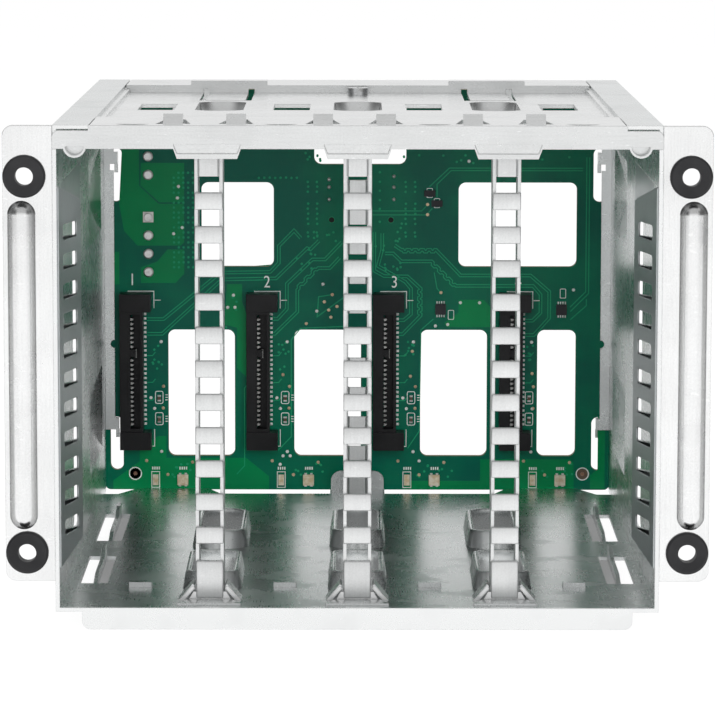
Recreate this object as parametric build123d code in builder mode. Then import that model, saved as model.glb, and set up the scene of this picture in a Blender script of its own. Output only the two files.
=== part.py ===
from build123d import *
import os

os.makedirs("parts", exist_ok=True)

# A cage of folded zinc-plated sheet holds four drives on edge, side by side, and carries
# the backplane board that they plug into. Millimetres. X is across, Y runs back from the
# front edge, Z is up from the top of the floor sheet.

# Cage
BAYS = 4
BAY_PITCH = 35.0
SIDE_MARGIN = 1.0
SHEET = 1.0
BODY_DEPTH = 175.0
BODY_HEIGHT = 113.7
BODY_WIDTH = BAYS * BAY_PITCH + 2 * SIDE_MARGIN
HALF = BODY_WIDTH / 2
INNER = HALF - SHEET
FIT = 0.3

# Front lip of the floor
LIP_DROP = 5.2
LIP_INSET = 6.2
LIP_CORNER = 2.0

# Floor cut back at its rear corners and in two air gaps along its rear edge
RELIEF_WIDTH = 5.0
RELIEF_TAPER = 5.0
RELIEF_DEPTH = 11.0
REAR_GAP = (7.5, 41.8)
REAR_GAP_TAPER = 4.0
REAR_GAP_DEPTH = 9.0

# Side walls
TOP_FLANGE = 8.4
REAR_FLANGE = 3.7
REAR_FLANGE_FOOT = 16.5
FLANGE_NOTCH = 1.1
FLANGE_NOTCH_HEIGHT = 40.5
FLANGE_HOOK_HEIGHT = 90.0
FLANGE_HOOK_GAP = 2.6

# Upright guide louvre pressed out of each side wall, with a column of windows
LOUVRE_ROOT = 12.0
LOUVRE_CREST = 18.5
LOUVRE_RISE = 3.9
LOUVRE_RETURN = 1.5
LOUVRE_FOOT = 12.5
LOUVRE_HEAD = 94.5
LOUVRE_CORNER = 4.5
LOUVRE_SLOT_BACK = 80.0
LOUVRE_WINDOWS = 11
LOUVRE_WINDOW_PITCH = 7.0
LOUVRE_WINDOW = 3.8
LOUVRE_WINDOW_TOP = 90.2

# Pillow-shaped bosses pressed outwards, low and high on each side wall
DIMPLE_LENGTH = 50.0
DIMPLE_TALL = 22.8
DIMPLE_RISE = 2.0
DIMPLE_DEPTH_AT = 135.0
DIMPLE_HEIGHTS = (25.2, 85.1)

# Top panel: rails front and rear, a sunk field between them
RAIL_FRONT = 29.0
RAIL_REAR = 25.0
FIELD_SINK = 2.0
TOP_LIP = 5.5
LIP_TAB_TOP = 15.7
LIP_TAB_FOOT = 14.0
LIP_TAB_DROP = 2.3
LIP_TAB_RISE = 1.1
LIP_TAB_RIM = 1.2
LIP_TAB_SINK = 0.5
LIP_END = 8.4
LIP_END_DROP = 1.2
LIP_END_CORNER = 1.5
CURL_AT = 65.8
CURL_RADIUS = 2.7
CURL_SHEET = 0.6
CURL_DEPTH = 3.5
CURL_RISE = 0.6

# Openings of the top panel: lanced tabs and arc slots in the front rail, vents in the sunk
# field, and a spring tongue under a strap at each post place of the rear rail
LANCE_OFFSETS = (-8.1, 6.6)
LANCE_FRONT = 4.5
LANCE_REAR = 20.0
LANCE_FRONT_WIDTH = 8.4
LANCE_REAR_WIDTH = 4.6
LANCE_TAB_WIDTH = 4.6
LANCE_TAB_RUN = 3.0
LANCE_TAB_RISE = 2.2
ARC_SLOT_WIDTH = 7.8
ARC_SLOT_FRONT = 1.2
ARC_SLOT_REAR = 4.2
ARC_SLOT_PLACES = (-52.5, -17.9, 17.9, 52.5)
VENT_PLACES = (-51.0, -16.8, 16.8, 51.0)
VENT_WIDTH = 9.3
VENT_ENDS = (81.6, 104.3)
STRAP_WIDTH = 20.4
STRAP_DEPTH = 6.0
STRAP_RISE = 1.2
STRAP_PLACES = (-34.6, 34.6)
TONGUE_WIDTH = 10.4
TONGUE_SLIT = 1.6
TONGUE_FRONT = 119.0

# Barrel-shaped guide collars in the floor and the top panel
COLLAR_WIDTH = 14.0
COLLAR_RISE = 4.5
COLLAR_BULGE = 4.2
COLLAR_WALL = 0.9
COLLAR_TAPER = 9.0
COLLAR_ROWS = ((20.5, 54.0), (78.0, 115.0))

# Small locks formed in the floor
STOP_LENGTH = 5.5
STOP_DEPTH = 4.0
STOP_RISE = 1.2
STOP_AT = 28.0
HOOK_SLOT_WIDTH = 6.8
HOOK_SLOT_INSET = 2.5
HOOK_SLOTS = ((31.0, 68.0), (90.0, 131.0))
HOOK_RISE = 3.2
HOOK_NOSE = 1.4
HOOK_LENGTH = 12.0
REAR_TAB_WIDTH = 14.6
REAR_TAB_RISE = 5.4
REAR_TAB_AT = 171.0

# Ladder posts between the bays
POST_WIDTH = 6.65
POST_DEPTH = 10.0
POST_FRONT = 9.4
REAR_POST_FRONT = 137.0
POST_WALL = 0.8
RUNG_WIDTH = 5.3
RUNG_HEIGHT = 3.9
RUNG_PITCH = 7.95
RUNG_BOW = 0.9
RUNGS = 11
RUNG_FIRST = 95.3
POST_HEAD = 101.1
POST_FOOT = 9.4
POST_LID = 0.8
CLIP_REACH = 7.4
CLIP_START = 3.6
CLIP_RISE = 4.0
CLIP_LENGTH = 7.0
FOOT_PLATE = (10.6, 15.0)
FOOT_PLATE_FRONT = 3.0

# Mounting ears, one bracket each side
EAR_SHEET = 1.2
EAR_REACH = 11.6
EAR_FOOT = 6.4
EAR_HEAD = 113.7
EAR_CORNER = 2.5
EAR_LEG = 64.0
EAR_LEG_FOOT = 9.0
EAR_LEG_HEAD = 106.0
RIB_WIDTH = 5.6
RIB_LENGTH = 76.0
RIB_RISE = 0.9
RIB_AT = 78.2
RIB_HEIGHT = 57.4

# Rubber grommets in the ears
GROMMET_SPAN_X = 155.0
GROMMET_SPAN_Z = 88.6
GROMMET_HEIGHT = 57.5
GROMMET_RADIUS = 5.0
GROMMET_NECK = 3.7
GROMMET_BORE = 2.15
GROMMET_FLANGE = 1.1

# Backplane board
BOARD_WIDTH = 140.6
BOARD_FOOT = -0.5
BOARD_HEAD = 111.0
BOARD_SHEET = 2.0
BOARD_CORNER = 1.7
BOARD_FRONT = BODY_DEPTH
BOARD_REAR = BOARD_FRONT + BOARD_SHEET
WINDOW_CORNER = 2.0
LOW_WINDOW_WIDTH = 18.5
LOW_WINDOW_OFFSET = 9.2
LOW_WINDOW_FOOT = 9.0
LOW_WINDOW_HEAD = 44.4
END_WINDOW_INNER = 49.9
END_WINDOW_OUTER = 60.6
HIGH_WINDOW_FOOT = 62.0
HIGH_WINDOW_HEAD = 85.4
LEFT_HIGH_WINDOW = (-43.2, -23.2)
RIGHT_HIGH_WINDOW = (27.9, 60.6)
TOP_NOTCH = (-12.0, 13.4)
TOP_NOTCH_FOOT = 90.4
EDGE_SLOT_WIDTH = 3.6
EDGE_SLOT_INSET = 1.6
LOW_SLOT_FOOT = 5.0
LOW_SLOT_HEAD = 20.0
HIGH_SLOT_FOOT = 80.0
HIGH_SLOT_HEAD = 95.0

# Drive receptacles: one slot connector each
SOCKET_OFFSET = -10.0
SOCKET_HEIGHT = 33.2
SOCKET_LENGTH = 33.6
SOCKET_WIDTH = 6.4
SOCKET_STAND = 5.4
SOCKET_SLOT_WIDTH = 2.7
SOCKET_THIN_WALL = 0.8
SOCKET_SLOT_LENGTH = 31.8
SOCKET_SLOT_FLOOR = 0.8
SOCKET_END_LENGTH = 4.9
SOCKET_END_WIDTH = 8.6
SOCKET_END_STAND = 6.6
CONTACT_PITCH = 1.27
CONTACT_PLACES = 24
KEY_PLACES = (15, 16)
KEY_WIDTH = 1.5
KEY_STAND = 4.6
CONTACT_WIDTH = 0.5
CONTACT_SHEET = 0.25
CONTACT_REACH = 4.4
CONTACT_CLEARANCE = 0.1
TAIL_REACH = 1.4

# Data receptacle on the rear, mouth up, in its plated shell
DATA_PORT_X = 1.0
DATA_PORT_FOOT = 74.0
DATA_PORT_HEAD = 89.0
DATA_PORT_WIDTH = 21.0
DATA_PORT_STAND = 6.4
DATA_PORT_WALL = 0.4
DATA_BACK_HEIGHT = 5.0
DATA_TONGUE_WIDTH = 15.0
DATA_TONGUE_SHEET = 1.2
DATA_TONGUE_REACH = 7.0

# Power inlets on the rear
POWER_X = -57.9
POWER_FIRST_PINS = (95.0, 68.05)
POWER_PINS = 4
POWER_PITCH = 5.08
POWER_LENGTH = 22.0
POWER_TALL = 8.2
POWER_STAND = 11.0
POWER_WALL = 1.0
POWER_PIN = 1.05
POWER_PIN_REACH = 9.0
POWER_PIN_TAIL = 0.7
POWER_PIN_SIDES = 12

# Small parts on the board
LIGHT_HEIGHT = 2.3
NARROW_LIGHT = (1.6, 3.0, 0.8)
SQUARE_LIGHT = (3.0, 3.0, 1.1)
NARROW_LIGHT_OFFSET = -3.7
SQUARE_LIGHT_OFFSET = 3.9
CHIP_BODY = (2.9, 2.9, 1.0)
CHIP_PLACES = ((23.0, 50.2), (56.5, 50.1))
SMALL_CHIP_BODY = (3.0, 1.7, 1.0)
SMALL_CHIP_PLACES = ((19.9, 82.4), (21.9, 79.6))
PASSIVE_BODY = (0.9, 1.6, 0.5)
PASSIVE_OFFSET = -2.6
PASSIVE_HEIGHTS = (19.2, 25.2)

# Lugs on the top panel that the board is screwed to, and their screws
LUG_PLACES = (-45.0, 45.0)
LUG_WIDTH = 12.0
LUG_FOOT = 98.0
SCREW_HEIGHT = 103.0
SCREW_HEAD = 2.8
SCREW_HEAD_HEIGHT = 1.9
SCREW_SHANK = 1.45
SCREW_HOLE = 1.6
SCREW_LENGTH = 5.0
SCREW_DRIVE = 1.1
SCREW_DRIVE_DEPTH = 1.0

# Hooks of the rear flanges that pass through the board's edge slots
HOOK_TAB_HEIGHT = 3.2
HOOK_TAB_NOSE = 2.6
HOOK_TAB_SHEET = 1.0
HOOK_TAB_FEET = (16.5, 90.5)

POST_PLACES = [BAY_PITCH * (i - (BAYS - 2) / 2) for i in range(BAYS - 1)]
BAY_PLACES = [BAY_PITCH * (i - (BAYS - 1) / 2) for i in range(BAYS)]
SIDES = (-1, 1)
PANEL_TOP = BODY_HEIGHT - FIELD_SINK


def save(piece, node):
    """Label a finished piece and write it as its own node."""
    piece.part.label = node
    export_step(piece.part, f"parts/{node}.step")


def barrel(x, start, end, margin):
    """Face with straight sides along Y and bowed ends, shrunk by a margin."""
    side = COLLAR_WIDTH / 2 - margin
    near, far = start + COLLAR_BULGE, end - COLLAR_BULGE
    with BuildSketch(mode=Mode.PRIVATE) as face:
        with BuildLine():
            ThreePointArc((x - side, near), (x, start + margin), (x + side, near))
            Line((x + side, near), (x + side, far))
            ThreePointArc((x + side, far), (x, end - margin), (x - side, far))
            Line((x - side, far), (x - side, near))
        make_face()
    return face.sketch


# Cage shell: floor, side walls and the flanges folded from them
with BuildPart() as cage:
    # Floor with its rear corners cut back
    with BuildSketch(Plane.XY.offset(-SHEET)):
        with BuildLine():
            Polyline(
                (-HALF, 0),
                (-HALF, BODY_DEPTH - RELIEF_DEPTH),
                (-HALF + RELIEF_WIDTH, BODY_DEPTH - RELIEF_DEPTH),
                (-HALF + RELIEF_WIDTH + RELIEF_TAPER, BODY_DEPTH - SHEET),
                (HALF - RELIEF_WIDTH - RELIEF_TAPER, BODY_DEPTH - SHEET),
                (HALF - RELIEF_WIDTH, BODY_DEPTH - RELIEF_DEPTH),
                (HALF, BODY_DEPTH - RELIEF_DEPTH),
                (HALF, 0),
                close=True,
            )
        make_face()
        for side in SIDES:
            inner, outer = (side * place for place in REAR_GAP)
            gap_front = BODY_DEPTH - SHEET - REAR_GAP_DEPTH
            with BuildLine():
                Polyline(
                    (inner, BODY_DEPTH),
                    (inner, gap_front),
                    (outer - side * REAR_GAP_TAPER, gap_front),
                    (outer, BODY_DEPTH),
                    close=True,
                )
            make_face(mode=Mode.SUBTRACT)
    extrude(amount=SHEET)

    # Lip folded down from the floor's front edge
    with BuildSketch(Plane.XZ):
        with Locations((0, -LIP_DROP / 2)):
            lip = Rectangle(BODY_WIDTH - 2 * LIP_INSET, LIP_DROP)
        fillet(lip.vertices().group_by(Axis.Y)[0], LIP_CORNER)
    extrude(amount=-SHEET)

    # Side walls, with the flanges folded in along the top and the rear
    for side in SIDES:
        with BuildSketch(Plane.YZ.offset(side * HALF)):
            with Locations((BODY_DEPTH / 2, (BODY_HEIGHT - SHEET) / 2)):
                Rectangle(BODY_DEPTH, BODY_HEIGHT + SHEET)
            # Window that the louvre is pressed out of
            with Locations(((LOUVRE_ROOT + LOUVRE_SLOT_BACK) / 2, (LOUVRE_FOOT + LOUVRE_HEAD) / 2)):
                Rectangle(
                    LOUVRE_SLOT_BACK - LOUVRE_ROOT,
                    LOUVRE_HEAD - LOUVRE_FOOT + 2 * LOUVRE_CORNER,
                    mode=Mode.SUBTRACT,
                )
        extrude(amount=-side * SHEET)

        with BuildSketch(Plane.XY.offset(BODY_HEIGHT)):
            with Locations((side * (HALF - TOP_FLANGE / 2), BODY_DEPTH / 2)):
                Rectangle(TOP_FLANGE, BODY_DEPTH)
        extrude(amount=-SHEET)

        with BuildSketch(Plane.XZ.offset(-BODY_DEPTH)):
            flange_middle = (REAR_FLANGE_FOOT + BODY_HEIGHT) / 2
            with Locations((side * (HALF - REAR_FLANGE / 2), flange_middle)):
                Rectangle(REAR_FLANGE, BODY_HEIGHT - REAR_FLANGE_FOOT)
            with Locations((side * (HALF - REAR_FLANGE), FLANGE_NOTCH_HEIGHT)):
                Circle(FLANGE_NOTCH, mode=Mode.SUBTRACT)
            with Locations((side * (HALF - REAR_FLANGE), FLANGE_HOOK_HEIGHT)):
                Rectangle(FLANGE_NOTCH * 2, FLANGE_HOOK_GAP, mode=Mode.SUBTRACT)
        extrude(amount=SHEET)

        # Louvre: the sheet leans in from its root to a crest, then turns back a little
        crest = side * (INNER - LOUVRE_RISE)
        with BuildSketch(Plane.XY.offset(LOUVRE_FOOT - LOUVRE_CORNER)):
            with BuildLine():
                Polyline(
                    (side * HALF, LOUVRE_ROOT),
                    (side * INNER, LOUVRE_ROOT),
                    (crest, LOUVRE_CREST),
                    (crest, LOUVRE_CREST + LOUVRE_RETURN),
                    (crest + side * SHEET, LOUVRE_CREST + LOUVRE_RETURN),
                    (crest + side * SHEET, LOUVRE_CREST + SHEET / 2),
                    (side * HALF, LOUVRE_ROOT + SHEET),
                    close=True,
                )
            make_face()
        extrude(amount=LOUVRE_HEAD - LOUVRE_FOOT + 2 * LOUVRE_CORNER)

        # Slanted head and foot of the louvre
        for end, way in ((LOUVRE_HEAD, 1), (LOUVRE_FOOT, -1)):
            with BuildSketch(Plane.XZ.offset(-LOUVRE_ROOT)):
                with BuildLine():
                    Polyline(
                        (crest - side * SHEET, end - way * LOUVRE_CORNER),
                        (crest - side * SHEET, end + way * 2 * LOUVRE_CORNER),
                        (side * INNER, end + way * 2 * LOUVRE_CORNER),
                        (side * INNER, end + way * LOUVRE_CORNER / 2),
                        close=True,
                    )
                make_face()
            extrude(amount=-LOUVRE_CREST, mode=Mode.SUBTRACT)

        # Column of windows in the louvre
        with BuildSketch(Plane.XZ.offset(-LOUVRE_ROOT)):
            for i in range(LOUVRE_WINDOWS):
                height = LOUVRE_WINDOW_TOP - LOUVRE_WINDOW / 2 - i * LOUVRE_WINDOW_PITCH
                with Locations((side * (INNER - LOUVRE_RISE / 2 + SHEET / 4), height)):
                    Rectangle(LOUVRE_RISE - SHEET / 2, LOUVRE_WINDOW)
        extrude(amount=-(LOUVRE_CREST + SHEET - LOUVRE_ROOT), mode=Mode.SUBTRACT)

        # Pillow-shaped bosses pressed out from inside: the outer form, then the hollow in it
        for height in DIMPLE_HEIGHTS:
            for skin, act in ((SHEET, Mode.ADD), (0, Mode.SUBTRACT)):
                base, apex = side * (INNER + skin), side * (INNER + skin + DIMPLE_RISE)
                with BuildPart(mode=Mode.PRIVATE) as pillow:
                    with BuildSketch(Plane.XY.offset(height)):
                        with BuildLine():
                            near = (base, DIMPLE_DEPTH_AT - DIMPLE_LENGTH / 2)
                            far = (base, DIMPLE_DEPTH_AT + DIMPLE_LENGTH / 2)
                            ThreePointArc(near, (apex, DIMPLE_DEPTH_AT), far)
                            Line(far, near)
                        make_face()
                    extrude(amount=DIMPLE_TALL / 2, both=True)
                    with BuildSketch(Plane.XZ.offset(-DIMPLE_DEPTH_AT)):
                        with BuildLine():
                            low, high = (base, height - DIMPLE_TALL / 2), (base, height + DIMPLE_TALL / 2)
                            ThreePointArc(low, (apex, height), high)
                            Line(high, low)
                        make_face()
                    extrude(amount=DIMPLE_LENGTH / 2, both=True, mode=Mode.INTERSECT)
                add(pillow.part, mode=act)

        # Hooks that reach back through the board's edge slots and hold it from behind
        hook_outer = side * (HALF - REAR_FLANGE)
        for foot in HOOK_TAB_FEET:
            with BuildSketch(Plane.YZ.offset(hook_outer)):
                with BuildLine():
                    Polyline(
                        (BODY_DEPTH - SHEET, foot),
                        (BOARD_REAR + CONTACT_CLEARANCE, foot),
                        (BOARD_REAR + CONTACT_CLEARANCE, foot - HOOK_TAB_NOSE),
                        (BOARD_REAR + SHEET, foot - HOOK_TAB_NOSE),
                        (BOARD_REAR + 2 * SHEET, foot + HOOK_TAB_HEIGHT / 2),
                        (BOARD_REAR + SHEET, foot + HOOK_TAB_HEIGHT),
                        (BODY_DEPTH - SHEET, foot + HOOK_TAB_HEIGHT),
                        close=True,
                    )
                make_face()
            extrude(amount=-side * HOOK_TAB_SHEET)
            with BuildSketch(Plane.YZ.offset(hook_outer)):
                with Locations((BODY_DEPTH - SHEET / 2, foot + HOOK_TAB_HEIGHT / 2)):
                    Rectangle(SHEET, HOOK_TAB_HEIGHT)
            extrude(amount=side * REAR_FLANGE)

    # Front corners cut away where the top panel's lip folds over them
    with BuildSketch(Plane.XZ):
        with Locations((0, BODY_HEIGHT - TOP_LIP / 2)):
            Rectangle(BODY_WIDTH, TOP_LIP)
    extrude(amount=-SHEET, mode=Mode.SUBTRACT)

    # Guide collars: a raised tapered wall round each barrel-shaped hole in the floor
    for x in POST_PLACES:
        for start, end in COLLAR_ROWS:
            with BuildSketch(Plane.XY):
                add(barrel(x, start, end, 0))
            extrude(amount=COLLAR_RISE, taper=COLLAR_TAPER)
    for x in POST_PLACES:
        for start, end in COLLAR_ROWS:
            with BuildSketch(Plane.XY.offset(-SHEET)):
                add(barrel(x, start, end, COLLAR_WALL))
            extrude(amount=SHEET + COLLAR_RISE, taper=COLLAR_TAPER, mode=Mode.SUBTRACT)

    # Stop bars, one at the middle of each bay
    for x in BAY_PLACES:
        with BuildSketch(Plane.YZ.offset(x - STOP_LENGTH / 2)):
            with BuildLine():
                Polyline(
                    (STOP_AT - STOP_DEPTH / 2, 0),
                    (STOP_AT - STOP_DEPTH / 2, STOP_RISE),
                    (STOP_AT, STOP_RISE),
                    (STOP_AT + STOP_DEPTH / 2, 0),
                    close=True,
                )
            make_face()
        extrude(amount=STOP_LENGTH)

    # Slots along the walls, each with an upright hook that rises along its middle
    for side in SIDES:
        for start, end in HOOK_SLOTS:
            slot_middle = side * (INNER - HOOK_SLOT_INSET - HOOK_SLOT_WIDTH / 2)
            with BuildSketch(Plane.XY.offset(-SHEET)):
                with Locations((slot_middle, (start + end) / 2)):
                    Rectangle(HOOK_SLOT_WIDTH, end - start)
            extrude(amount=SHEET, mode=Mode.SUBTRACT)
            with BuildSketch(Plane.YZ.offset(slot_middle)):
                with BuildLine():
                    Polyline(
                        (start, -SHEET),
                        (start, 0),
                        (start + HOOK_LENGTH / 2, HOOK_NOSE),
                        (end - HOOK_LENGTH, HOOK_NOSE),
                        (end - HOOK_LENGTH / 2, HOOK_RISE),
                        (end, HOOK_RISE),
                        (end, -SHEET),
                        close=True,
                    )
                make_face()
            extrude(amount=-side * SHEET)

    # Spring clips that grip the foot of each front post
    for x in POST_PLACES:
        for side in SIDES:
            with BuildSketch(Plane.XZ.offset(-POST_FRONT)):
                with BuildLine():
                    Polyline(
                        (x + side * CLIP_REACH, 0),
                        (x + side * (CLIP_START + SHEET / 2), CLIP_RISE),
                        (x + side * CLIP_START, CLIP_RISE - SHEET / 2),
                        (x + side * (CLIP_REACH - SHEET * 1.6), 0),
                        close=True,
                    )
                make_face()
            extrude(amount=-CLIP_LENGTH)

    # Plate under the foot of each front post, wider at its front edge
    for x in POST_PLACES:
        with BuildSketch(Plane.XY):
            with BuildLine():
                Polyline(
                    (x - FOOT_PLATE[1] / 2, FOOT_PLATE_FRONT),
                    (x + FOOT_PLATE[1] / 2, FOOT_PLATE_FRONT),
                    (x + FOOT_PLATE[0] / 2, POST_FRONT - RUNG_BOW - FIT),
                    (x - FOOT_PLATE[0] / 2, POST_FRONT - RUNG_BOW - FIT),
                    close=True,
                )
            make_face()
        extrude(amount=SHEET / 2)

    # Stop tab at the middle of the floor's rear edge
    with BuildSketch(Plane.XZ.offset(-REAR_TAB_AT)):
        with Locations((0, REAR_TAB_RISE / 2 - SHEET / 2)):
            tab = Rectangle(REAR_TAB_WIDTH, REAR_TAB_RISE + SHEET)
        fillet(tab.vertices().group_by(Axis.Y)[-1], REAR_TAB_RISE / 2)
    extrude(amount=-SHEET)
save(cage, "cage_shell")

# Top panel: front and rear rails at full height, a sunk field between them
with BuildPart() as top_panel:
    rail_width = BODY_WIDTH - 2 * TOP_FLANGE - 2 * FIT
    lid_bottom = PANEL_TOP - SHEET
    with BuildSketch(Plane.YZ.offset(-rail_width / 2)):
        with BuildLine():
            Polyline(
                (SHEET, BODY_HEIGHT),
                (RAIL_FRONT, BODY_HEIGHT),
                (RAIL_FRONT, PANEL_TOP),
                (BODY_DEPTH - RAIL_REAR, PANEL_TOP),
                (BODY_DEPTH - RAIL_REAR, BODY_HEIGHT),
                (BODY_DEPTH - FIT, BODY_HEIGHT),
                (BODY_DEPTH - FIT, BODY_HEIGHT - SHEET),
                (BODY_DEPTH - RAIL_REAR + SHEET, BODY_HEIGHT - SHEET),
                (BODY_DEPTH - RAIL_REAR + SHEET, lid_bottom),
                (RAIL_FRONT - SHEET, lid_bottom),
                (RAIL_FRONT - SHEET, BODY_HEIGHT - SHEET),
                (SHEET, BODY_HEIGHT - SHEET),
                close=True,
            )
        make_face()
    extrude(amount=rail_width)

    # Margin of the sunk field, spot-welded up against the side flanges
    for side in SIDES:
        with BuildSketch(Plane.XY.offset(BODY_HEIGHT - SHEET)):
            with Locations((side * (INNER - TOP_FLANGE / 2), (RAIL_FRONT + BODY_DEPTH - RAIL_REAR) / 2)):
                Rectangle(TOP_FLANGE - 2 * FIT, BODY_DEPTH - RAIL_FRONT - RAIL_REAR - 2 * SHEET)
        extrude(amount=-SHEET)
        with BuildSketch(Plane.XY.offset(BODY_HEIGHT - SHEET)):
            with Locations((side * (rail_width / 2 - SHEET / 2), (RAIL_FRONT + BODY_DEPTH - RAIL_REAR) / 2)):
                Rectangle(SHEET, BODY_DEPTH - RAIL_FRONT - RAIL_REAR - 2 * SHEET)
        extrude(amount=-FIELD_SINK)

    # Lip folded down over the front edge, its free ends lower and rounded
    lip_foot = BODY_HEIGHT - TOP_LIP
    with BuildSketch(Plane.XZ):
        with Locations((0, BODY_HEIGHT - TOP_LIP / 2)):
            Rectangle(BODY_WIDTH - 2 * LIP_END, TOP_LIP)
        with Locations((0, BODY_HEIGHT - LIP_END_DROP / 2 - TOP_LIP / 2)):
            ends = Rectangle(BODY_WIDTH, TOP_LIP - LIP_END_DROP)
        fillet(ends.vertices().group_by(Axis.Y)[-1], LIP_END_CORNER)
    extrude(amount=-SHEET)

    # Curl under each end of the lip: a half-round rim in front of a sunk web
    for side in SIDES:
        for radius, start, end, act in (
            (CURL_RADIUS, 0, CURL_DEPTH, Mode.ADD),
            (CURL_RADIUS - CURL_SHEET, 0, CURL_DEPTH - CURL_SHEET, Mode.SUBTRACT),
        ):
            with BuildSketch(Plane.XZ.offset(-start)):
                with Locations((side * CURL_AT, lip_foot + CURL_RISE)):
                    Circle(radius)
                with Locations((side * CURL_AT, lip_foot + CURL_RISE + radius)):
                    Rectangle(2 * radius, 2 * radius, mode=Mode.SUBTRACT)
            extrude(amount=start - end, mode=act)

    # Tab under the lip in front of each post
    for x in POST_PLACES:
        with BuildSketch(Plane.XZ):
            with BuildLine():
                Polyline(
                    (x - LIP_TAB_TOP / 2, lip_foot),
                    (x + LIP_TAB_TOP / 2, lip_foot),
                    (x + LIP_TAB_FOOT / 2, lip_foot - LIP_TAB_DROP),
                    (x - LIP_TAB_FOOT / 2, lip_foot - LIP_TAB_DROP),
                    close=True,
                )
            make_face()
        extrude(amount=-SHEET)
        # Scoop pressed into the tab's front, above its rim
        with BuildSketch(Plane.XZ):
            with BuildLine():
                Polyline(
                    (x - LIP_TAB_TOP / 2, lip_foot + LIP_TAB_RISE),
                    (x + LIP_TAB_TOP / 2, lip_foot + LIP_TAB_RISE),
                    (x + LIP_TAB_FOOT / 2, lip_foot - LIP_TAB_DROP + LIP_TAB_RIM),
                    (x - LIP_TAB_FOOT / 2, lip_foot - LIP_TAB_DROP + LIP_TAB_RIM),
                    close=True,
                )
            make_face()
        extrude(amount=-LIP_TAB_SINK, mode=Mode.SUBTRACT)

    # Openings of the front rail: a tapering hole behind each lanced tab, and the arc slots
    lance_places = [x + offset for x in POST_PLACES for offset in LANCE_OFFSETS]
    with BuildSketch(Plane.XY.offset(BODY_HEIGHT)):
        for x in lance_places:
            with BuildLine():
                Polyline(
                    (x - LANCE_FRONT_WIDTH / 2, LANCE_FRONT),
                    (x + LANCE_FRONT_WIDTH / 2, LANCE_FRONT),
                    (x + LANCE_REAR_WIDTH / 2, LANCE_REAR),
                    (x - LANCE_REAR_WIDTH / 2, LANCE_REAR),
                    close=True,
                )
            make_face()
        for x in ARC_SLOT_PLACES:
            slot_ends = ((x - ARC_SLOT_WIDTH / 2, ARC_SLOT_REAR), (x + ARC_SLOT_WIDTH / 2, ARC_SLOT_REAR))
            with BuildLine():
                ThreePointArc(slot_ends[0], (x, ARC_SLOT_FRONT), slot_ends[1])
                Line(slot_ends[1], slot_ends[0])
            make_face()
    extrude(amount=-SHEET, mode=Mode.SUBTRACT)
    for x in lance_places:
        with BuildSketch(Plane.YZ.offset(x - LANCE_TAB_WIDTH / 2)):
            with BuildLine():
                Polyline(
                    (LANCE_FRONT - SHEET, BODY_HEIGHT),
                    (LANCE_FRONT, BODY_HEIGHT),
                    (LANCE_FRONT + LANCE_TAB_RUN, BODY_HEIGHT + LANCE_TAB_RISE),
                    (LANCE_FRONT + LANCE_TAB_RUN + SHEET / 2, BODY_HEIGHT + LANCE_TAB_RISE - SHEET / 2),
                    (LANCE_FRONT + SHEET / 2, BODY_HEIGHT - SHEET),
                    (LANCE_FRONT - SHEET, BODY_HEIGHT - SHEET),
                    close=True,
                )
            make_face()
        extrude(amount=LANCE_TAB_WIDTH)

    # Vents of the sunk field, and the slits that free the spring tongues from it
    with BuildSketch(Plane.XY.offset(PANEL_TOP)):
        with Locations(*((x, sum(VENT_ENDS) / 2) for x in VENT_PLACES)):
            Rectangle(VENT_WIDTH, VENT_ENDS[1] - VENT_ENDS[0])
    extrude(amount=-SHEET, mode=Mode.SUBTRACT)
    with BuildSketch(Plane.XY.offset(BODY_HEIGHT)):
        for x in STRAP_PLACES:
            for side in SIDES:
                slit_rear = BODY_DEPTH - RAIL_REAR + SHEET
                with Locations((x + side * (TONGUE_WIDTH + TONGUE_SLIT) / 2, (TONGUE_FRONT + slit_rear) / 2)):
                    Rectangle(TONGUE_SLIT, slit_rear - TONGUE_FRONT)
            with Locations((x, TONGUE_FRONT)):
                Rectangle(TONGUE_WIDTH + 2 * TONGUE_SLIT, TONGUE_SLIT)
    extrude(amount=-FIELD_SINK - SHEET, mode=Mode.SUBTRACT)
    with BuildSketch(Plane.XY.offset(BODY_HEIGHT - SHEET)):
        with Locations(*((x, BODY_DEPTH - RAIL_REAR + STRAP_DEPTH / 2) for x in STRAP_PLACES)):
            Rectangle(STRAP_WIDTH, STRAP_DEPTH)
    extrude(amount=SHEET + STRAP_RISE)

    # Lugs folded down at the rear for the board's screws
    for x in LUG_PLACES:
        with BuildSketch(Plane.XZ.offset(-BODY_DEPTH)):
            with Locations((x, (LUG_FOOT + BODY_HEIGHT) / 2)):
                Rectangle(LUG_WIDTH, BODY_HEIGHT - LUG_FOOT)
            with Locations((x, SCREW_HEIGHT)):
                Circle(SCREW_HOLE, mode=Mode.SUBTRACT)
        extrude(amount=SHEET)

    # Hole for the rear post's screw
    with BuildSketch(Plane.XY.offset(PANEL_TOP)):
        with Locations((0, REAR_POST_FRONT + POST_DEPTH / 2)):
            Circle(SCREW_HOLE)
    extrude(amount=-SHEET, mode=Mode.SUBTRACT)

    # Guide collars pressed down from the sunk field, in line with those in the floor
    start, end = COLLAR_ROWS[1]
    for x in POST_PLACES:
        with BuildSketch(Plane.XY.offset(lid_bottom)):
            add(barrel(x, start, end, 0))
        extrude(amount=-COLLAR_RISE, taper=COLLAR_TAPER)
    for x in POST_PLACES:
        with BuildSketch(Plane.XY.offset(PANEL_TOP)):
            add(barrel(x, start, end, COLLAR_WALL))
        extrude(amount=-SHEET - COLLAR_RISE, taper=COLLAR_TAPER, mode=Mode.SUBTRACT)
save(top_panel, "top_panel")


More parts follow.
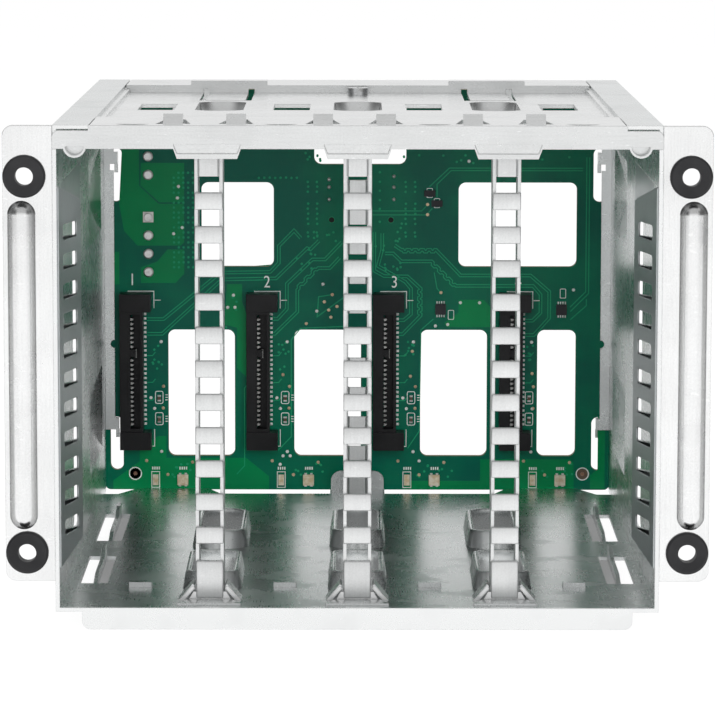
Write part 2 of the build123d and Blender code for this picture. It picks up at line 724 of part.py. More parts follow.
# Ladder posts: an upright channel whose front is a ladder of rungs bowed forward
POSTS = [(f"post_{i + 1}", x, POST_FRONT, BODY_HEIGHT - SHEET) for i, x in enumerate(POST_PLACES)]
POSTS.append(("rear_post", 0.0, REAR_POST_FRONT, PANEL_TOP - SHEET))
for node, x, front, head in POSTS:
    with BuildPart() as post:
        channel = POST_WIDTH - 2 * POST_WALL
        with BuildSketch(Plane.XY):
            with Locations((x, front + POST_DEPTH / 2)):
                Rectangle(POST_WIDTH, POST_DEPTH)
            with Locations((x, front + POST_DEPTH / 2 + POST_WALL)):
                Rectangle(channel, POST_DEPTH, mode=Mode.SUBTRACT)
        extrude(amount=head)
        with BuildSketch(Plane.XZ.offset(-front)):
            with Locations((x, (POST_FOOT + POST_HEAD) / 2)):
                Rectangle(channel, POST_HEAD - POST_FOOT)
        extrude(amount=-POST_WALL, mode=Mode.SUBTRACT)

        # Rungs, the foot block below them and the head block above, all bent strips
        bow = RUNG_BOW * 0.6
        rung_feet = [RUNG_FIRST - i * RUNG_PITCH - RUNG_HEIGHT / 2 for i in range(RUNGS)]
        strips = [(rung_feet, RUNG_HEIGHT), ([0], POST_FOOT), ([POST_HEAD], head - POST_HEAD)]
        for feet, height in strips:
            with BuildSketch(*(Plane.XY.offset(foot) for foot in feet)):
                with BuildLine():
                    Polyline(
                        (x - RUNG_WIDTH / 2, front + POST_WALL),
                        (x - RUNG_WIDTH / 2, front),
                        (x - RUNG_WIDTH / 2 + bow, front - RUNG_BOW),
                        (x + RUNG_WIDTH / 2 - bow, front - RUNG_BOW),
                        (x + RUNG_WIDTH / 2, front),
                        (x + RUNG_WIDTH / 2, front + POST_WALL),
                        (x + channel / 2 - bow, front - RUNG_BOW + POST_WALL),
                        (x - channel / 2 + bow, front - RUNG_BOW + POST_WALL),
                        close=True,
                    )
                make_face()
            extrude(amount=height)

        # Lid across the top of the channel
        with BuildSketch(Plane.XY.offset(head)):
            with Locations((x, front + POST_DEPTH / 2)):
                Rectangle(POST_WIDTH, POST_DEPTH)
        extrude(amount=-POST_LID)
        if node == "rear_post":
            with BuildSketch(Plane.XY.offset(head)):
                with Locations((x, front + POST_DEPTH / 2)):
                    Circle(SCREW_HOLE)
            extrude(amount=-POST_LID, mode=Mode.SUBTRACT)
    save(post, node)

# Mounting ears: a front flange with a raised rib, and a leg along the outside of the wall
for side, hand in ((-1, "left"), (1, "right")):
    with BuildPart() as ear:
        with BuildSketch(Plane.XZ):
            with Locations((side * (HALF + EAR_REACH / 2), (EAR_FOOT + EAR_HEAD) / 2)):
                flange = Rectangle(EAR_REACH, EAR_HEAD - EAR_FOOT)
            fillet(flange.vertices().group_by(Axis.X)[-1 if side > 0 else 0], EAR_CORNER)
            for way in SIDES:
                with Locations((side * GROMMET_SPAN_X / 2, GROMMET_HEIGHT + way * GROMMET_SPAN_Z / 2)):
                    Circle(GROMMET_NECK + FIT / 3, mode=Mode.SUBTRACT)
        extrude(amount=-EAR_SHEET)
        with BuildSketch(Plane.YZ.offset(side * HALF)):
            with Locations((EAR_LEG / 2, (EAR_LEG_FOOT + EAR_LEG_HEAD) / 2)):
                leg = Rectangle(EAR_LEG, EAR_LEG_HEAD - EAR_LEG_FOOT)
            fillet(leg.vertices().group_by(Axis.X)[-1], EAR_CORNER)
        extrude(amount=side * EAR_SHEET)
        with BuildSketch(Plane.XZ):
            with Locations((side * RIB_AT, RIB_HEIGHT)):
                SlotOverall(RIB_LENGTH, RIB_WIDTH, rotation=90)
        extrude(amount=RIB_RISE, taper=45)
        with BuildSketch(Plane.XZ.offset(-EAR_SHEET)):
            with Locations((side * RIB_AT, RIB_HEIGHT)):
                SlotOverall(RIB_LENGTH - EAR_SHEET, RIB_WIDTH - EAR_SHEET, rotation=90)
        extrude(amount=RIB_RISE, taper=45, mode=Mode.SUBTRACT)
    save(ear, f"ear_bracket_{hand}")

# Rubber grommets, one in each corner hole: two flanges and a neck between them, bored through
with BuildPart() as grommets:
    for side in SIDES:
        for way in SIDES:
            place = (side * GROMMET_SPAN_X / 2, 0, GROMMET_HEIGHT + way * GROMMET_SPAN_Z / 2)
            bore, neck, rim = (place[0] + radius for radius in (GROMMET_BORE, GROMMET_NECK, GROMMET_RADIUS))
            front, back = -GROMMET_FLANGE, EAR_SHEET + GROMMET_FLANGE
            with BuildSketch(Plane.XY.offset(place[2])):
                with BuildLine():
                    Polyline(
                        (bore, front),
                        (rim - GROMMET_FLANGE / 2, front),
                        (rim, front + GROMMET_FLANGE / 2),
                        (rim, 0),
                        (neck, 0),
                        (neck, EAR_SHEET),
                        (rim, EAR_SHEET),
                        (rim, back),
                        (bore, back),
                        close=True,
                    )
                make_face()
            revolve(axis=Axis(place, (0, 1, 0)))
save(grommets, "ear_grommets")

# Backplane board with its vents, edge slots, notch and plated holes
POWER_HOLES = [
    middle + POWER_PITCH * (i - (POWER_PINS - 1) / 2)
    for middle in POWER_FIRST_PINS
    for i in range(POWER_PINS)
]
with BuildPart() as board:
    with BuildSketch(Plane.XZ.offset(-BOARD_FRONT)):
        with Locations((0, (BOARD_FOOT + BOARD_HEAD) / 2)):
            RectangleRounded(BOARD_WIDTH, BOARD_HEAD - BOARD_FOOT, BOARD_CORNER)
        low_middle = (LOW_WINDOW_FOOT + LOW_WINDOW_HEAD) / 2
        low_height = LOW_WINDOW_HEAD - LOW_WINDOW_FOOT
        windows = [(x + LOW_WINDOW_OFFSET, low_middle, LOW_WINDOW_WIDTH, low_height) for x in BAY_PLACES[:-1]]
        windows.append(
            (
                (END_WINDOW_INNER + END_WINDOW_OUTER) / 2,
                low_middle,
                END_WINDOW_OUTER - END_WINDOW_INNER,
                low_height,
            )
        )
        for left, right in (LEFT_HIGH_WINDOW, RIGHT_HIGH_WINDOW):
            high_middle = (HIGH_WINDOW_FOOT + HIGH_WINDOW_HEAD) / 2
            windows.append(
                ((left + right) / 2, high_middle, right - left, HIGH_WINDOW_HEAD - HIGH_WINDOW_FOOT)
            )
        for x, height, width, tall in windows:
            with Locations((x, height)):
                RectangleRounded(width, tall, WINDOW_CORNER, mode=Mode.SUBTRACT)
        with Locations((sum(TOP_NOTCH) / 2, (TOP_NOTCH_FOOT + BOARD_HEAD) / 2 + WINDOW_CORNER)):
            RectangleRounded(
                TOP_NOTCH[1] - TOP_NOTCH[0],
                BOARD_HEAD - TOP_NOTCH_FOOT + 2 * WINDOW_CORNER,
                WINDOW_CORNER,
                mode=Mode.SUBTRACT,
            )
        for side in SIDES:
            slot_x = side * (BOARD_WIDTH / 2 - EDGE_SLOT_INSET - EDGE_SLOT_WIDTH / 2)
            for foot, head in ((LOW_SLOT_FOOT, LOW_SLOT_HEAD), (HIGH_SLOT_FOOT, HIGH_SLOT_HEAD)):
                with Locations((slot_x, (foot + head) / 2)):
                    SlotOverall(head - foot, EDGE_SLOT_WIDTH, rotation=90, mode=Mode.SUBTRACT)
        for x in LUG_PLACES:
            with Locations((x, SCREW_HEIGHT)):
                Circle(SCREW_HOLE, mode=Mode.SUBTRACT)
        for height in POWER_HOLES:
            with Locations((POWER_X, height)):
                RegularPolygon(POWER_PIN + FIT / 3, POWER_PIN_SIDES, mode=Mode.SUBTRACT)
    extrude(amount=-BOARD_SHEET)
save(board, "backplane_board")

# Drive receptacles with their contacts
for i, bay in enumerate(BAY_PLACES):
    x = bay + SOCKET_OFFSET
    right = x + SOCKET_WIDTH / 2
    slot_right = right - SOCKET_THIN_WALL
    slot_left = slot_right - SOCKET_SLOT_WIDTH
    place_heights = [
        SOCKET_HEIGHT + CONTACT_PITCH * (n - (CONTACT_PLACES - 1) / 2) for n in range(CONTACT_PLACES)
    ]
    contact_heights = [height for n, height in enumerate(place_heights) if n not in KEY_PLACES]
    key_heights = [place_heights[n] for n in KEY_PLACES]
    with BuildPart() as socket:
        with BuildSketch(Plane.XZ.offset(-BOARD_FRONT)):
            with Locations((x, SOCKET_HEIGHT)):
                Rectangle(SOCKET_WIDTH, SOCKET_LENGTH)
        extrude(amount=SOCKET_STAND)
        with BuildSketch(Plane.XZ.offset(-BOARD_FRONT)):
            for way in SIDES:
                end_middle = SOCKET_HEIGHT + way * (SOCKET_LENGTH + SOCKET_END_LENGTH) / 2
                with Locations((x + (SOCKET_END_WIDTH - SOCKET_WIDTH) / 2, end_middle)):
                    Rectangle(SOCKET_END_WIDTH, SOCKET_END_LENGTH)
        extrude(amount=SOCKET_END_STAND)
        # Slot, its floor left standing between two gaps for the contacts
        with BuildSketch(Plane.XZ.offset(-BOARD_FRONT)):
            with Locations(((slot_left + slot_right) / 2, SOCKET_HEIGHT)):
                Rectangle(SOCKET_SLOT_WIDTH, SOCKET_SLOT_LENGTH)
        extrude(amount=SOCKET_STAND, mode=Mode.SUBTRACT)
        floor_inset = CONTACT_SHEET + 2 * CONTACT_CLEARANCE
        with BuildSketch(Plane.XZ.offset(-BOARD_FRONT + CONTACT_SHEET + CONTACT_CLEARANCE)):
            with Locations(((slot_left + floor_inset + slot_right) / 2, SOCKET_HEIGHT)):
                Rectangle(SOCKET_SLOT_WIDTH - floor_inset, SOCKET_SLOT_LENGTH)
        extrude(amount=SOCKET_SLOT_FLOOR)
        # Key between the two rows of contacts
        with BuildSketch(Plane.XZ.offset(-BOARD_FRONT)):
            with Locations((slot_left + KEY_WIDTH / 2, sum(key_heights) / 2)):
                Rectangle(KEY_WIDTH, CONTACT_PITCH * len(KEY_PLACES) - CONTACT_WIDTH)
        extrude(amount=KEY_STAND)
        # Gap under the thin wall where the contact tails come out
        with BuildSketch(Plane.XZ.offset(-BOARD_FRONT)):
            with Locations(((slot_right + right) / 2, SOCKET_HEIGHT)):
                Rectangle(SOCKET_THIN_WALL, SOCKET_SLOT_LENGTH)
        extrude(amount=CONTACT_SHEET + CONTACT_CLEARANCE, mode=Mode.SUBTRACT)
    save(socket, f"drive_receptacle_{i + 1}")

    with BuildPart() as contacts:
        blade = slot_left + CONTACT_CLEARANCE
        with BuildSketch(*(Plane.XY.offset(height - CONTACT_WIDTH / 2) for height in contact_heights)):
            with BuildLine():
                Polyline(
                    (right + TAIL_REACH, BOARD_FRONT),
                    (blade, BOARD_FRONT),
                    (blade, BOARD_FRONT - CONTACT_REACH),
                    (blade + CONTACT_SHEET, BOARD_FRONT - CONTACT_REACH),
                    (blade + CONTACT_SHEET, BOARD_FRONT - CONTACT_SHEET),
                    (right + TAIL_REACH, BOARD_FRONT - CONTACT_SHEET),
                    close=True,
                )
            make_face()
        extrude(amount=CONTACT_WIDTH)
    save(contacts, f"receptacle_contacts_{i + 1}")

# Data receptacle on the rear: plated shell open at the top, insulator with a tongue inside
with BuildPart() as data_shell:
    port_middle = (DATA_PORT_FOOT + DATA_PORT_HEAD) / 2
    with BuildSketch(Plane.XY.offset(DATA_PORT_FOOT)):
        with Locations((DATA_PORT_X, BOARD_REAR + DATA_PORT_STAND / 2)):
            Rectangle(DATA_PORT_WIDTH, DATA_PORT_STAND)
            Rectangle(
                DATA_PORT_WIDTH - 2 * DATA_PORT_WALL, DATA_PORT_STAND - 2 * DATA_PORT_WALL, mode=Mode.SUBTRACT
            )
    extrude(amount=DATA_PORT_HEAD - DATA_PORT_FOOT)
save(data_shell, "data_receptacle_shell")

with BuildPart() as data_core:
    core_width = DATA_PORT_WIDTH - 2 * DATA_PORT_WALL - 2 * CONTACT_CLEARANCE
    core_stand = DATA_PORT_STAND - 2 * DATA_PORT_WALL - 2 * CONTACT_CLEARANCE
    with BuildSketch(Plane.XY.offset(DATA_PORT_FOOT)):
        with Locations((DATA_PORT_X, BOARD_REAR + DATA_PORT_STAND / 2)):
            Rectangle(core_width, core_stand)
    extrude(amount=DATA_BACK_HEIGHT)
    with BuildSketch(Plane.XY.offset(DATA_PORT_FOOT + DATA_BACK_HEIGHT)):
        with Locations((DATA_PORT_X, BOARD_REAR + DATA_PORT_STAND / 2)):
            Rectangle(DATA_TONGUE_WIDTH, DATA_TONGUE_SHEET)
    extrude(amount=DATA_TONGUE_REACH)
save(data_core, "data_receptacle_core")

# Power inlets on the rear, each a shrouded header with four pins
for middle, level in zip(POWER_FIRST_PINS, ("upper", "lower")):
    pins = [middle + POWER_PITCH * (i - (POWER_PINS - 1) / 2) for i in range(POWER_PINS)]
    with BuildPart() as inlet:
        with BuildSketch(Plane.XZ.offset(-BOARD_REAR)):
            with Locations((POWER_X, middle)):
                Rectangle(POWER_TALL, POWER_LENGTH)
        extrude(amount=-POWER_STAND)
        chamfer(inlet.edges().filter_by(Axis.Y).group_by(Axis.X)[0], POWER_TALL / 5)
        with BuildSketch(Plane.XZ.offset(-BOARD_REAR - POWER_STAND)) as mouth:
            with Locations((POWER_X, middle)):
                mouth_face = Rectangle(POWER_TALL - 2 * POWER_WALL, POWER_LENGTH - 2 * POWER_WALL)
            chamfer(mouth_face.vertices().group_by(Axis.X)[0], POWER_TALL / 5 - POWER_WALL / 3)
        extrude(amount=POWER_STAND - 2 * POWER_WALL, mode=Mode.SUBTRACT)
        with BuildSketch(Plane.XZ.offset(-BOARD_REAR)):
            for height in pins:
                with Locations((POWER_X, height)):
                    Rectangle(2 * (POWER_PIN + FIT / 3), 2 * (POWER_PIN + FIT / 3))
        extrude(amount=-2 * POWER_WALL, mode=Mode.SUBTRACT)
    save(inlet, f"power_inlet_{level}")

    with BuildPart() as power_pins:
        with BuildSketch(Plane.XZ.offset(-BOARD_FRONT + POWER_PIN_TAIL)):
            for height in pins:
                with Locations((POWER_X, height)):
                    RegularPolygon(POWER_PIN, POWER_PIN_SIDES)
        extrude(amount=-(POWER_PIN_TAIL + BOARD_SHEET + POWER_PIN_REACH))
    save(power_pins, f"power_pins_{level}")

# Small parts soldered to the board's front
SMALL_PARTS = {
    "status_lights_narrow": (NARROW_LIGHT, [(bay + NARROW_LIGHT_OFFSET, LIGHT_HEIGHT) for bay in BAY_PLACES]),
    "status_lights_square": (SQUARE_LIGHT, [(bay + SQUARE_LIGHT_OFFSET, LIGHT_HEIGHT) for bay in BAY_PLACES]),
    "board_chips": (CHIP_BODY, CHIP_PLACES),
    "board_chips_small": (SMALL_CHIP_BODY, SMALL_CHIP_PLACES),
    "board_passives": (
        PASSIVE_BODY,
        [(bay + PASSIVE_OFFSET, height) for bay in BAY_PLACES for height in PASSIVE_HEIGHTS],
    ),
}
for node, ((width, tall, stand), places) in SMALL_PARTS.items():
    with BuildPart() as small:
        with BuildSketch(Plane.XZ.offset(-BOARD_FRONT)):
            with Locations(*places):
                Rectangle(width, tall)
        extrude(amount=stand)
    save(small, node)

# Pan-head screws: two hold the board to the lugs, one holds the rear post to the top panel
with BuildPart() as board_screws:
    for x in LUG_PLACES:
        with BuildSketch(Plane.XZ.offset(-BOARD_REAR)):
            with Locations((x, SCREW_HEIGHT)):
                Circle(SCREW_HEAD)
        extrude(amount=-SCREW_HEAD_HEIGHT)
        with BuildSketch(Plane.XZ.offset(-BOARD_REAR)):
            with Locations((x, SCREW_HEIGHT)):
                Circle(SCREW_SHANK)
        extrude(amount=SCREW_LENGTH)
        with BuildSketch(Plane.XZ.offset(-BOARD_REAR - SCREW_HEAD_HEIGHT)):
            with Locations((x, SCREW_HEIGHT)):
                Rectangle(2 * SCREW_DRIVE, SCREW_DRIVE / 2)
                Rectangle(SCREW_DRIVE / 2, 2 * SCREW_DRIVE)
        extrude(amount=SCREW_DRIVE_DEPTH, mode=Mode.SUBTRACT)
save(board_screws, "board_screws")

with BuildPart() as post_screw:
    with BuildSketch(Plane.XY.offset(PANEL_TOP)):
        with Locations((0, REAR_POST_FRONT + POST_DEPTH / 2)):
            Circle(SCREW_HEAD)
    extrude(amount=SCREW_HEAD_HEIGHT)
    with BuildSketch(Plane.XY.offset(PANEL_TOP)):
        with Locations((0, REAR_POST_FRONT + POST_DEPTH / 2)):
            Circle(SCREW_SHANK)
    extrude(amount=-SCREW_LENGTH)
    with BuildSketch(Plane.XY.offset(PANEL_TOP + SCREW_HEAD_HEIGHT)):
        with Locations((0, REAR_POST_FRONT + POST_DEPTH / 2)):
            Rectangle(2 * SCREW_DRIVE, SCREW_DRIVE / 2)
            Rectangle(SCREW_DRIVE / 2, 2 * SCREW_DRIVE)
    extrude(amount=-SCREW_DRIVE_DEPTH, mode=Mode.SUBTRACT)
save(post_screw, "post_screw")
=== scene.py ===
import logging
import math
import random
from dataclasses import dataclass
from enum import Enum
from typing import Callable, Iterable, Sequence, Union

import bmesh
import bpy
from mathutils import Matrix, Vector


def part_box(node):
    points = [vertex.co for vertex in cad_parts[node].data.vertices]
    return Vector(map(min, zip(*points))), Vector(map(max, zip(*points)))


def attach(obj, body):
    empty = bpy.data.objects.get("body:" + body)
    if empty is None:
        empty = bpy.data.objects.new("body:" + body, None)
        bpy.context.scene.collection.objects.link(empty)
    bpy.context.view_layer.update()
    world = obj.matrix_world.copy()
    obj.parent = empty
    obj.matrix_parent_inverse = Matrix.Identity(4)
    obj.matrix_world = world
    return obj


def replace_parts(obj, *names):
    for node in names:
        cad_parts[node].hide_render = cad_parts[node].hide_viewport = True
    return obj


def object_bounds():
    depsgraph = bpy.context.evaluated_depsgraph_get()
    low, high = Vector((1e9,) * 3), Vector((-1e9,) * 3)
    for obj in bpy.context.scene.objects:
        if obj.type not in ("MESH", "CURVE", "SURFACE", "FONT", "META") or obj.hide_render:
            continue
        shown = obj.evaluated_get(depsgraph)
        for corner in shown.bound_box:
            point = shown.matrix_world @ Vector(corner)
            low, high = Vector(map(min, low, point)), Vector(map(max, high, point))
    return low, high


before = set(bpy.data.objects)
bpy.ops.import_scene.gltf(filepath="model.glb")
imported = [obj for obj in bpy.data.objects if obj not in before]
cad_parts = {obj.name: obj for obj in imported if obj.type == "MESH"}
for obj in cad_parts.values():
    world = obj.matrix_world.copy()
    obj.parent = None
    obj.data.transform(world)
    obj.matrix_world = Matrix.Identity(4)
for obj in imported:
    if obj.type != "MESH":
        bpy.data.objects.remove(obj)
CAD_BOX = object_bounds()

LOG = logging.getLogger("backplane")
MM = 0.001
BODY = "root"
SIDES = (-1, 1)
BAYS = (-52.5, -17.5, 17.5, 52.5)

Point = tuple[float, float]
Triple = tuple[float, float, float]
Colour = Triple
Number = Union[float, "Link"]


class Face(Enum):
    """The side of the board that a mark lies on: where it starts and which way it stands out."""

    FRONT = -1
    REAR = 1


class Slot(Enum):
    """The record's material slots, passed beside each piece's finish."""

    BOARD = "board_laminate"
    CAGE = "cage_sheet"
    CONTACT = "contact_gold"
    EAR = "ear_sheet"
    PASSIVE = "passive_ceramic"
    PIN = "pin_plate"
    POST = "post_sheet"


class Link:
    """A shader socket whose arithmetic adds Math nodes to its material."""

    def __init__(self, shader: "Tree", socket: bpy.types.NodeSocket) -> None:
        """Keep the socket and the tree that it belongs to."""
        self.shader = shader
        self.socket = socket

    def math(self, operation: str, first: Number, second: Number) -> "Link":
        """Add one Math node.

        Args:
            operation: The Math node's operation.
            first: Its first value or link.
            second: Its second value or link.

        Returns:
            The node's result.
        """
        return self.shader.node("ShaderNodeMath", {"operation": operation}, {0: first, 1: second})

    def __add__(self, other: Number) -> "Link":
        """Add a value or link."""
        return self.math("ADD", self, other)

    def __radd__(self, other: Number) -> "Link":
        """Add to a value."""
        return self.math("ADD", other, self)

    def __sub__(self, other: Number) -> "Link":
        """Take away a value or link."""
        return self.math("SUBTRACT", self, other)

    def __rsub__(self, other: Number) -> "Link":
        """Take away from a value."""
        return self.math("SUBTRACT", other, self)

    def __mul__(self, other: Number) -> "Link":
        """Multiply by a value or link."""
        return self.math("MULTIPLY", self, other)

    def __rmul__(self, other: Number) -> "Link":
        """Multiply a value."""
        return self.math("MULTIPLY", other, self)

    def step(self, low: float, high: float) -> "Link":
        """Rise smoothly from 0 at low to 1 at high.

        Args:
            low: The value that gives 0.
            high: The value that gives 1.

        Returns:
            The smooth step.
        """
        return self.shader.node(
            "ShaderNodeMapRange",
            {"interpolation_type": "SMOOTHSTEP"},
            {"Value": self, "From Min": low, "From Max": high},
        )


class Tree:
    """A node tree under construction."""

    def __init__(self, tree: bpy.types.NodeTree) -> None:
        """Keep the tree that nodes are added to."""
        self.tree = tree

    def node(
        self, kind: str, settings: dict | None = None, inputs: dict | None = None, output: int | str = 0
    ) -> "Link | None":
        """Add a node.

        Args:
            kind: The node's type.
            settings: Its properties, set first.
            inputs: Values or links of its sockets, by name or index.
            output: The output to return.

        Returns:
            The chosen output, if the node has outputs.
        """
        made = self.tree.nodes.new(kind)
        for name, value in (settings or {}).items():
            setattr(made, name, value)
        for key, value in (inputs or {}).items():
            self.join(made.inputs[key], value)
        return Link(self, made.outputs[output]) if made.outputs else None

    def join(self, socket: bpy.types.NodeSocket, value: object) -> None:
        """Link a socket, or set its value.

        Args:
            socket: The socket.
            value: A Link, or what the socket holds.
        """
        if isinstance(value, Link):
            self.tree.links.new(value.socket, socket)
        else:
            socket.default_value = value


class Shader(Tree):
    """A material under construction, with a Principled surface."""

    def __init__(self, name: str) -> None:
        """Start a material.

        Args:
            name: The material's name.
        """
        self.material = bpy.data.materials.new(name)
        self.material.use_nodes = True
        super().__init__(self.material.node_tree)
        self.surface = next(n for n in self.tree.nodes if n.type == "BSDF_PRINCIPLED")

    def constants(self, **values: float) -> None:
        """Set the surface's own sockets, spaces in their names written as underscores."""
        for name, value in values.items():
            self.surface.inputs[name.replace("_", " ")].default_value = value

    def feed(self, name: str, value: object) -> None:
        """Join one of the surface's sockets to a link or a value."""
        self.join(self.surface.inputs[name], value)

    def place(self, stretch: Triple = (1, 1, 1)) -> Link:
        """Give the surface's own coordinates, in metres.

        Args:
            stretch: A factor for each axis.

        Returns:
            The coordinates, stretched.
        """
        here = self.node("ShaderNodeTexCoord", output="Object")
        return self.node("ShaderNodeVectorMath", {"operation": "MULTIPLY"}, {0: here, 1: stretch})

    def noise(self, scale: float, detail: float = 2, stretch: Triple = (1, 1, 1)) -> Link:
        """Give a noise value.

        Args:
            scale: Features per metre.
            detail: How many finer layers it has.
            stretch: A factor for each axis.

        Returns:
            The noise, about one half on average.
        """
        return self.node(
            "ShaderNodeTexNoise", inputs={"Vector": self.place(stretch), "Scale": scale, "Detail": detail}
        )

    def mix(self, share: Number, first: object, second: object) -> Link:
        """Mix two colours.

        Args:
            share: How much of the second there is.
            first: A colour or link.
            second: A colour or link.

        Returns:
            The mixed colour.
        """
        colours = [c if isinstance(c, Link) else (*c, 1) for c in (first, second)]
        return self.node(
            "ShaderNodeMix",
            {"data_type": "RGBA"},
            {"Factor": share, 6: colours[0], 7: colours[1]},
            output=2,
        )

    def edges(self, radius: float) -> tuple[Link, Link]:
        """Give the normal with its edges rounded, and a mask of those edges.

        Args:
            radius: The rounding, in metres.

        Returns:
            The rounded normal, and the mask.
        """
        rounded = self.node("ShaderNodeBevel", {"samples": 4}, {"Radius": radius})
        plain = self.node("ShaderNodeNewGeometry", output="Normal")
        inputs = {0: rounded, 1: plain}
        same = self.node("ShaderNodeVectorMath", {"operation": "DOT_PRODUCT"}, inputs, "Value")
        return rounded, (1 - same).step(0.0, 0.12)

    def bump(self, height: Link, strength: float, distance: float, normal: Link | None = None) -> Link:
        """Raise the surface by a height.

        Args:
            height: The height.
            strength: How strong it is.
            distance: What a height of 1 is, in metres.
            normal: The normal under it.

        Returns:
            The new normal.
        """
        inputs = {"Height": height, "Strength": strength, "Distance": distance}
        if normal is not None:
            inputs["Normal"] = normal
        return self.node("ShaderNodeBump", inputs=inputs)


def tinted(colour: Colour, factor: float, lift: float = 0.0) -> Colour:
    """Give a colour made lighter or darker, at most white.

    Args:
        colour: The colour.
        factor: What each channel is multiplied by.
        lift: What is then added.

    Returns:
        The new colour.
    """
    return tuple(min(1.0, factor * channel + lift) for channel in colour)


@dataclass(frozen=True)
class SheetFinish:
    """Zinc-plated steel sheet: satin, with rolled grain, clouds, rubbed edges, handling marks and, where asked, a
    painted highlight along the front lip.
    """

    name: str
    colour: Colour = (0.70, 0.72, 0.72)
    roughness: float = 0.27
    grain: Triple = (1.0, 0.06, 1.0)
    edge: float = 0.00025
    front_highlight: float = 0.0
    ridge: float = 0.0
    ridge_place: Point = (0.0782, 0.0574)
    ridge_half: Point = (0.0033, 0.0354)
    lip_highlight_ends: Point = (0.0012, 0.0020)
    lip_highlight_colour: Colour = (0.88, 0.89, 0.89)
    rubbed: Colour = (0.90, 0.91, 0.91)

    def build(self) -> bpy.types.Material:
        """Make the material.

        Returns:
            The material.
        """
        s = Shader(self.name)
        clouds = s.noise(45, 3)
        speckle = s.noise(2600, 2)
        rolled = s.noise(1900, 2, self.grain)
        smudge = s.noise(85, 4).step(0.52, 0.66)
        scratch = s.noise(420, 1, (1.0, 14.0, 3.0)).step(0.69, 0.74)
        rounded, rim = s.edges(self.edge)
        tone = 0.90 + 0.12 * clouds + 0.07 * (speckle - 0.5) + 0.05 * (rolled - 0.5)
        plate = s.mix(tone.step(0.86, 1.04), tinted(self.colour, 0.78), tinted(self.colour, 1.08))
        plate = s.mix(scratch * 0.35, plate, tinted(self.colour, 1.25))
        # Painted highlight: near the front edge the sheet's colour is mixed towards a pale one, so the front lip
        # looks lit.
        ahead = s.node("ShaderNodeSeparateXYZ", inputs={0: s.place()}, output="Y")
        lip_highlight = self.front_highlight * (1 - ahead.step(*self.lip_highlight_ends))
        plate = s.mix(lip_highlight, plate, self.lip_highlight_colour)
        s.feed("Base Color", s.mix(rim * 0.5, plate, self.rubbed))
        s.constants(Metallic=1.0)
        worn = 0.09 * (clouds - 0.5) + 0.06 * smudge - 0.05 * scratch + 0.05 * (rolled - 0.5)
        s.feed("Roughness", self.roughness + worn)
        if self.ridge:
            rounded = s.bump(self.round_ridge(s), 1.0, self.ridge * MM, rounded)
        s.feed("Normal", s.bump(speckle + rolled * 0.6 - scratch * 0.4, 0.055, 0.00004, rounded))
        return s.material

    def round_ridge(self, s: Shader) -> Link:
        """Give the height of the round back of the ears' ribs.

        Args:
            s: The material under construction.

        Returns:
            1 along the middle of each rib, 0 at its foot and beyond.
        """
        x, z = (s.node("ShaderNodeSeparateXYZ", inputs={0: s.place()}, output=axis) for axis in "XZ")
        wide = x.math("ABSOLUTE", x, 0.0) - self.ridge_place[0]
        up = z - self.ridge_place[1]
        past = x.math("MAXIMUM", up.math("ABSOLUTE", up, 0.0) - self.ridge_half[1], 0.0)
        share = (wide * wide + past * past) * (1 / self.ridge_half[0] ** 2)
        return x.math("MAXIMUM", 1 - share, 0.0)


@dataclass(frozen=True)
class LaminateFinish:
    """Solder mask over glass laminate: glossy green faces, brownish sawn edges."""

    name: str
    colour: Colour
    deep: Colour
    sawn: Colour = (0.075, 0.085, 0.03)
    fibre: Colour = (0.16, 0.15, 0.06)
    dust: Colour = (0.32, 0.40, 0.34)
    shine: float = 0.12

    def build(self) -> bpy.types.Material:
        """Make the material.

        Returns:
            The material.
        """
        s = Shader(self.name)
        weave_x = s.noise(1400, 1, (1.0, 1.0, 0.12))
        weave_z = s.noise(1400, 1, (0.12, 1.0, 1.0))
        weave = weave_x * weave_z
        patch = s.noise(38, 3).step(0.40, 0.62)
        peel = s.noise(700, 2)
        dust = s.noise(5200, 1).step(0.74, 0.80)
        facing = s.node("ShaderNodeNewGeometry", output="Normal")
        across = s.node("ShaderNodeSeparateXYZ", inputs={0: facing}, output="Y")
        edge = 1 - across.math("ABSOLUTE", across, 0.0).step(0.5, 0.8)
        mask = s.mix(patch * 0.75 + 0.5 * (weave - 0.25), self.deep, self.colour)
        mask = s.mix(dust * 0.25, mask, self.dust)
        s.feed("Base Color", s.mix(edge, mask, s.mix(weave * 2, self.sawn, self.fibre)))
        s.feed("Roughness", 0.24 + 0.10 * (peel - 0.5) + 0.08 * dust + 0.35 * edge)
        s.feed("Normal", s.bump(peel + weave * 0.5, 0.08, 0.00006))
        s.constants(Specular_IOR_Level=self.shine)
        return s.material


@dataclass(frozen=True)
class MouldFinish:
    """Moulded plastic or rubber: fine mould texture, slight clouding, paler rubbed edges."""

    name: str
    colour: Colour
    roughness: float
    texture: float = 2200.0
    rise: float = 0.00003
    worn: float = 0.25
    shine: float = 0.25

    def build(self) -> bpy.types.Material:
        """Make the material.

        Returns:
            The material.
        """
        s = Shader(self.name)
        texture = s.noise(self.texture, 3)
        clouds = s.noise(120, 3)
        dust = s.noise(900, 2).step(0.60, 0.75)
        rounded, rim = s.edges(0.0002)
        body = s.mix((clouds - 0.35) * 0.5 + dust * 0.12, self.colour, tinted(self.colour, 1.6, 0.03))
        s.feed("Base Color", s.mix(rim * self.worn, body, tinted(self.colour, 2.2, 0.05)))
        s.feed("Roughness", self.roughness + 0.12 * (texture - 0.5) + 0.10 * dust)
        s.feed("Normal", s.bump(texture, 0.25, self.rise, rounded))
        s.constants(Specular_IOR_Level=self.shine)
        return s.material


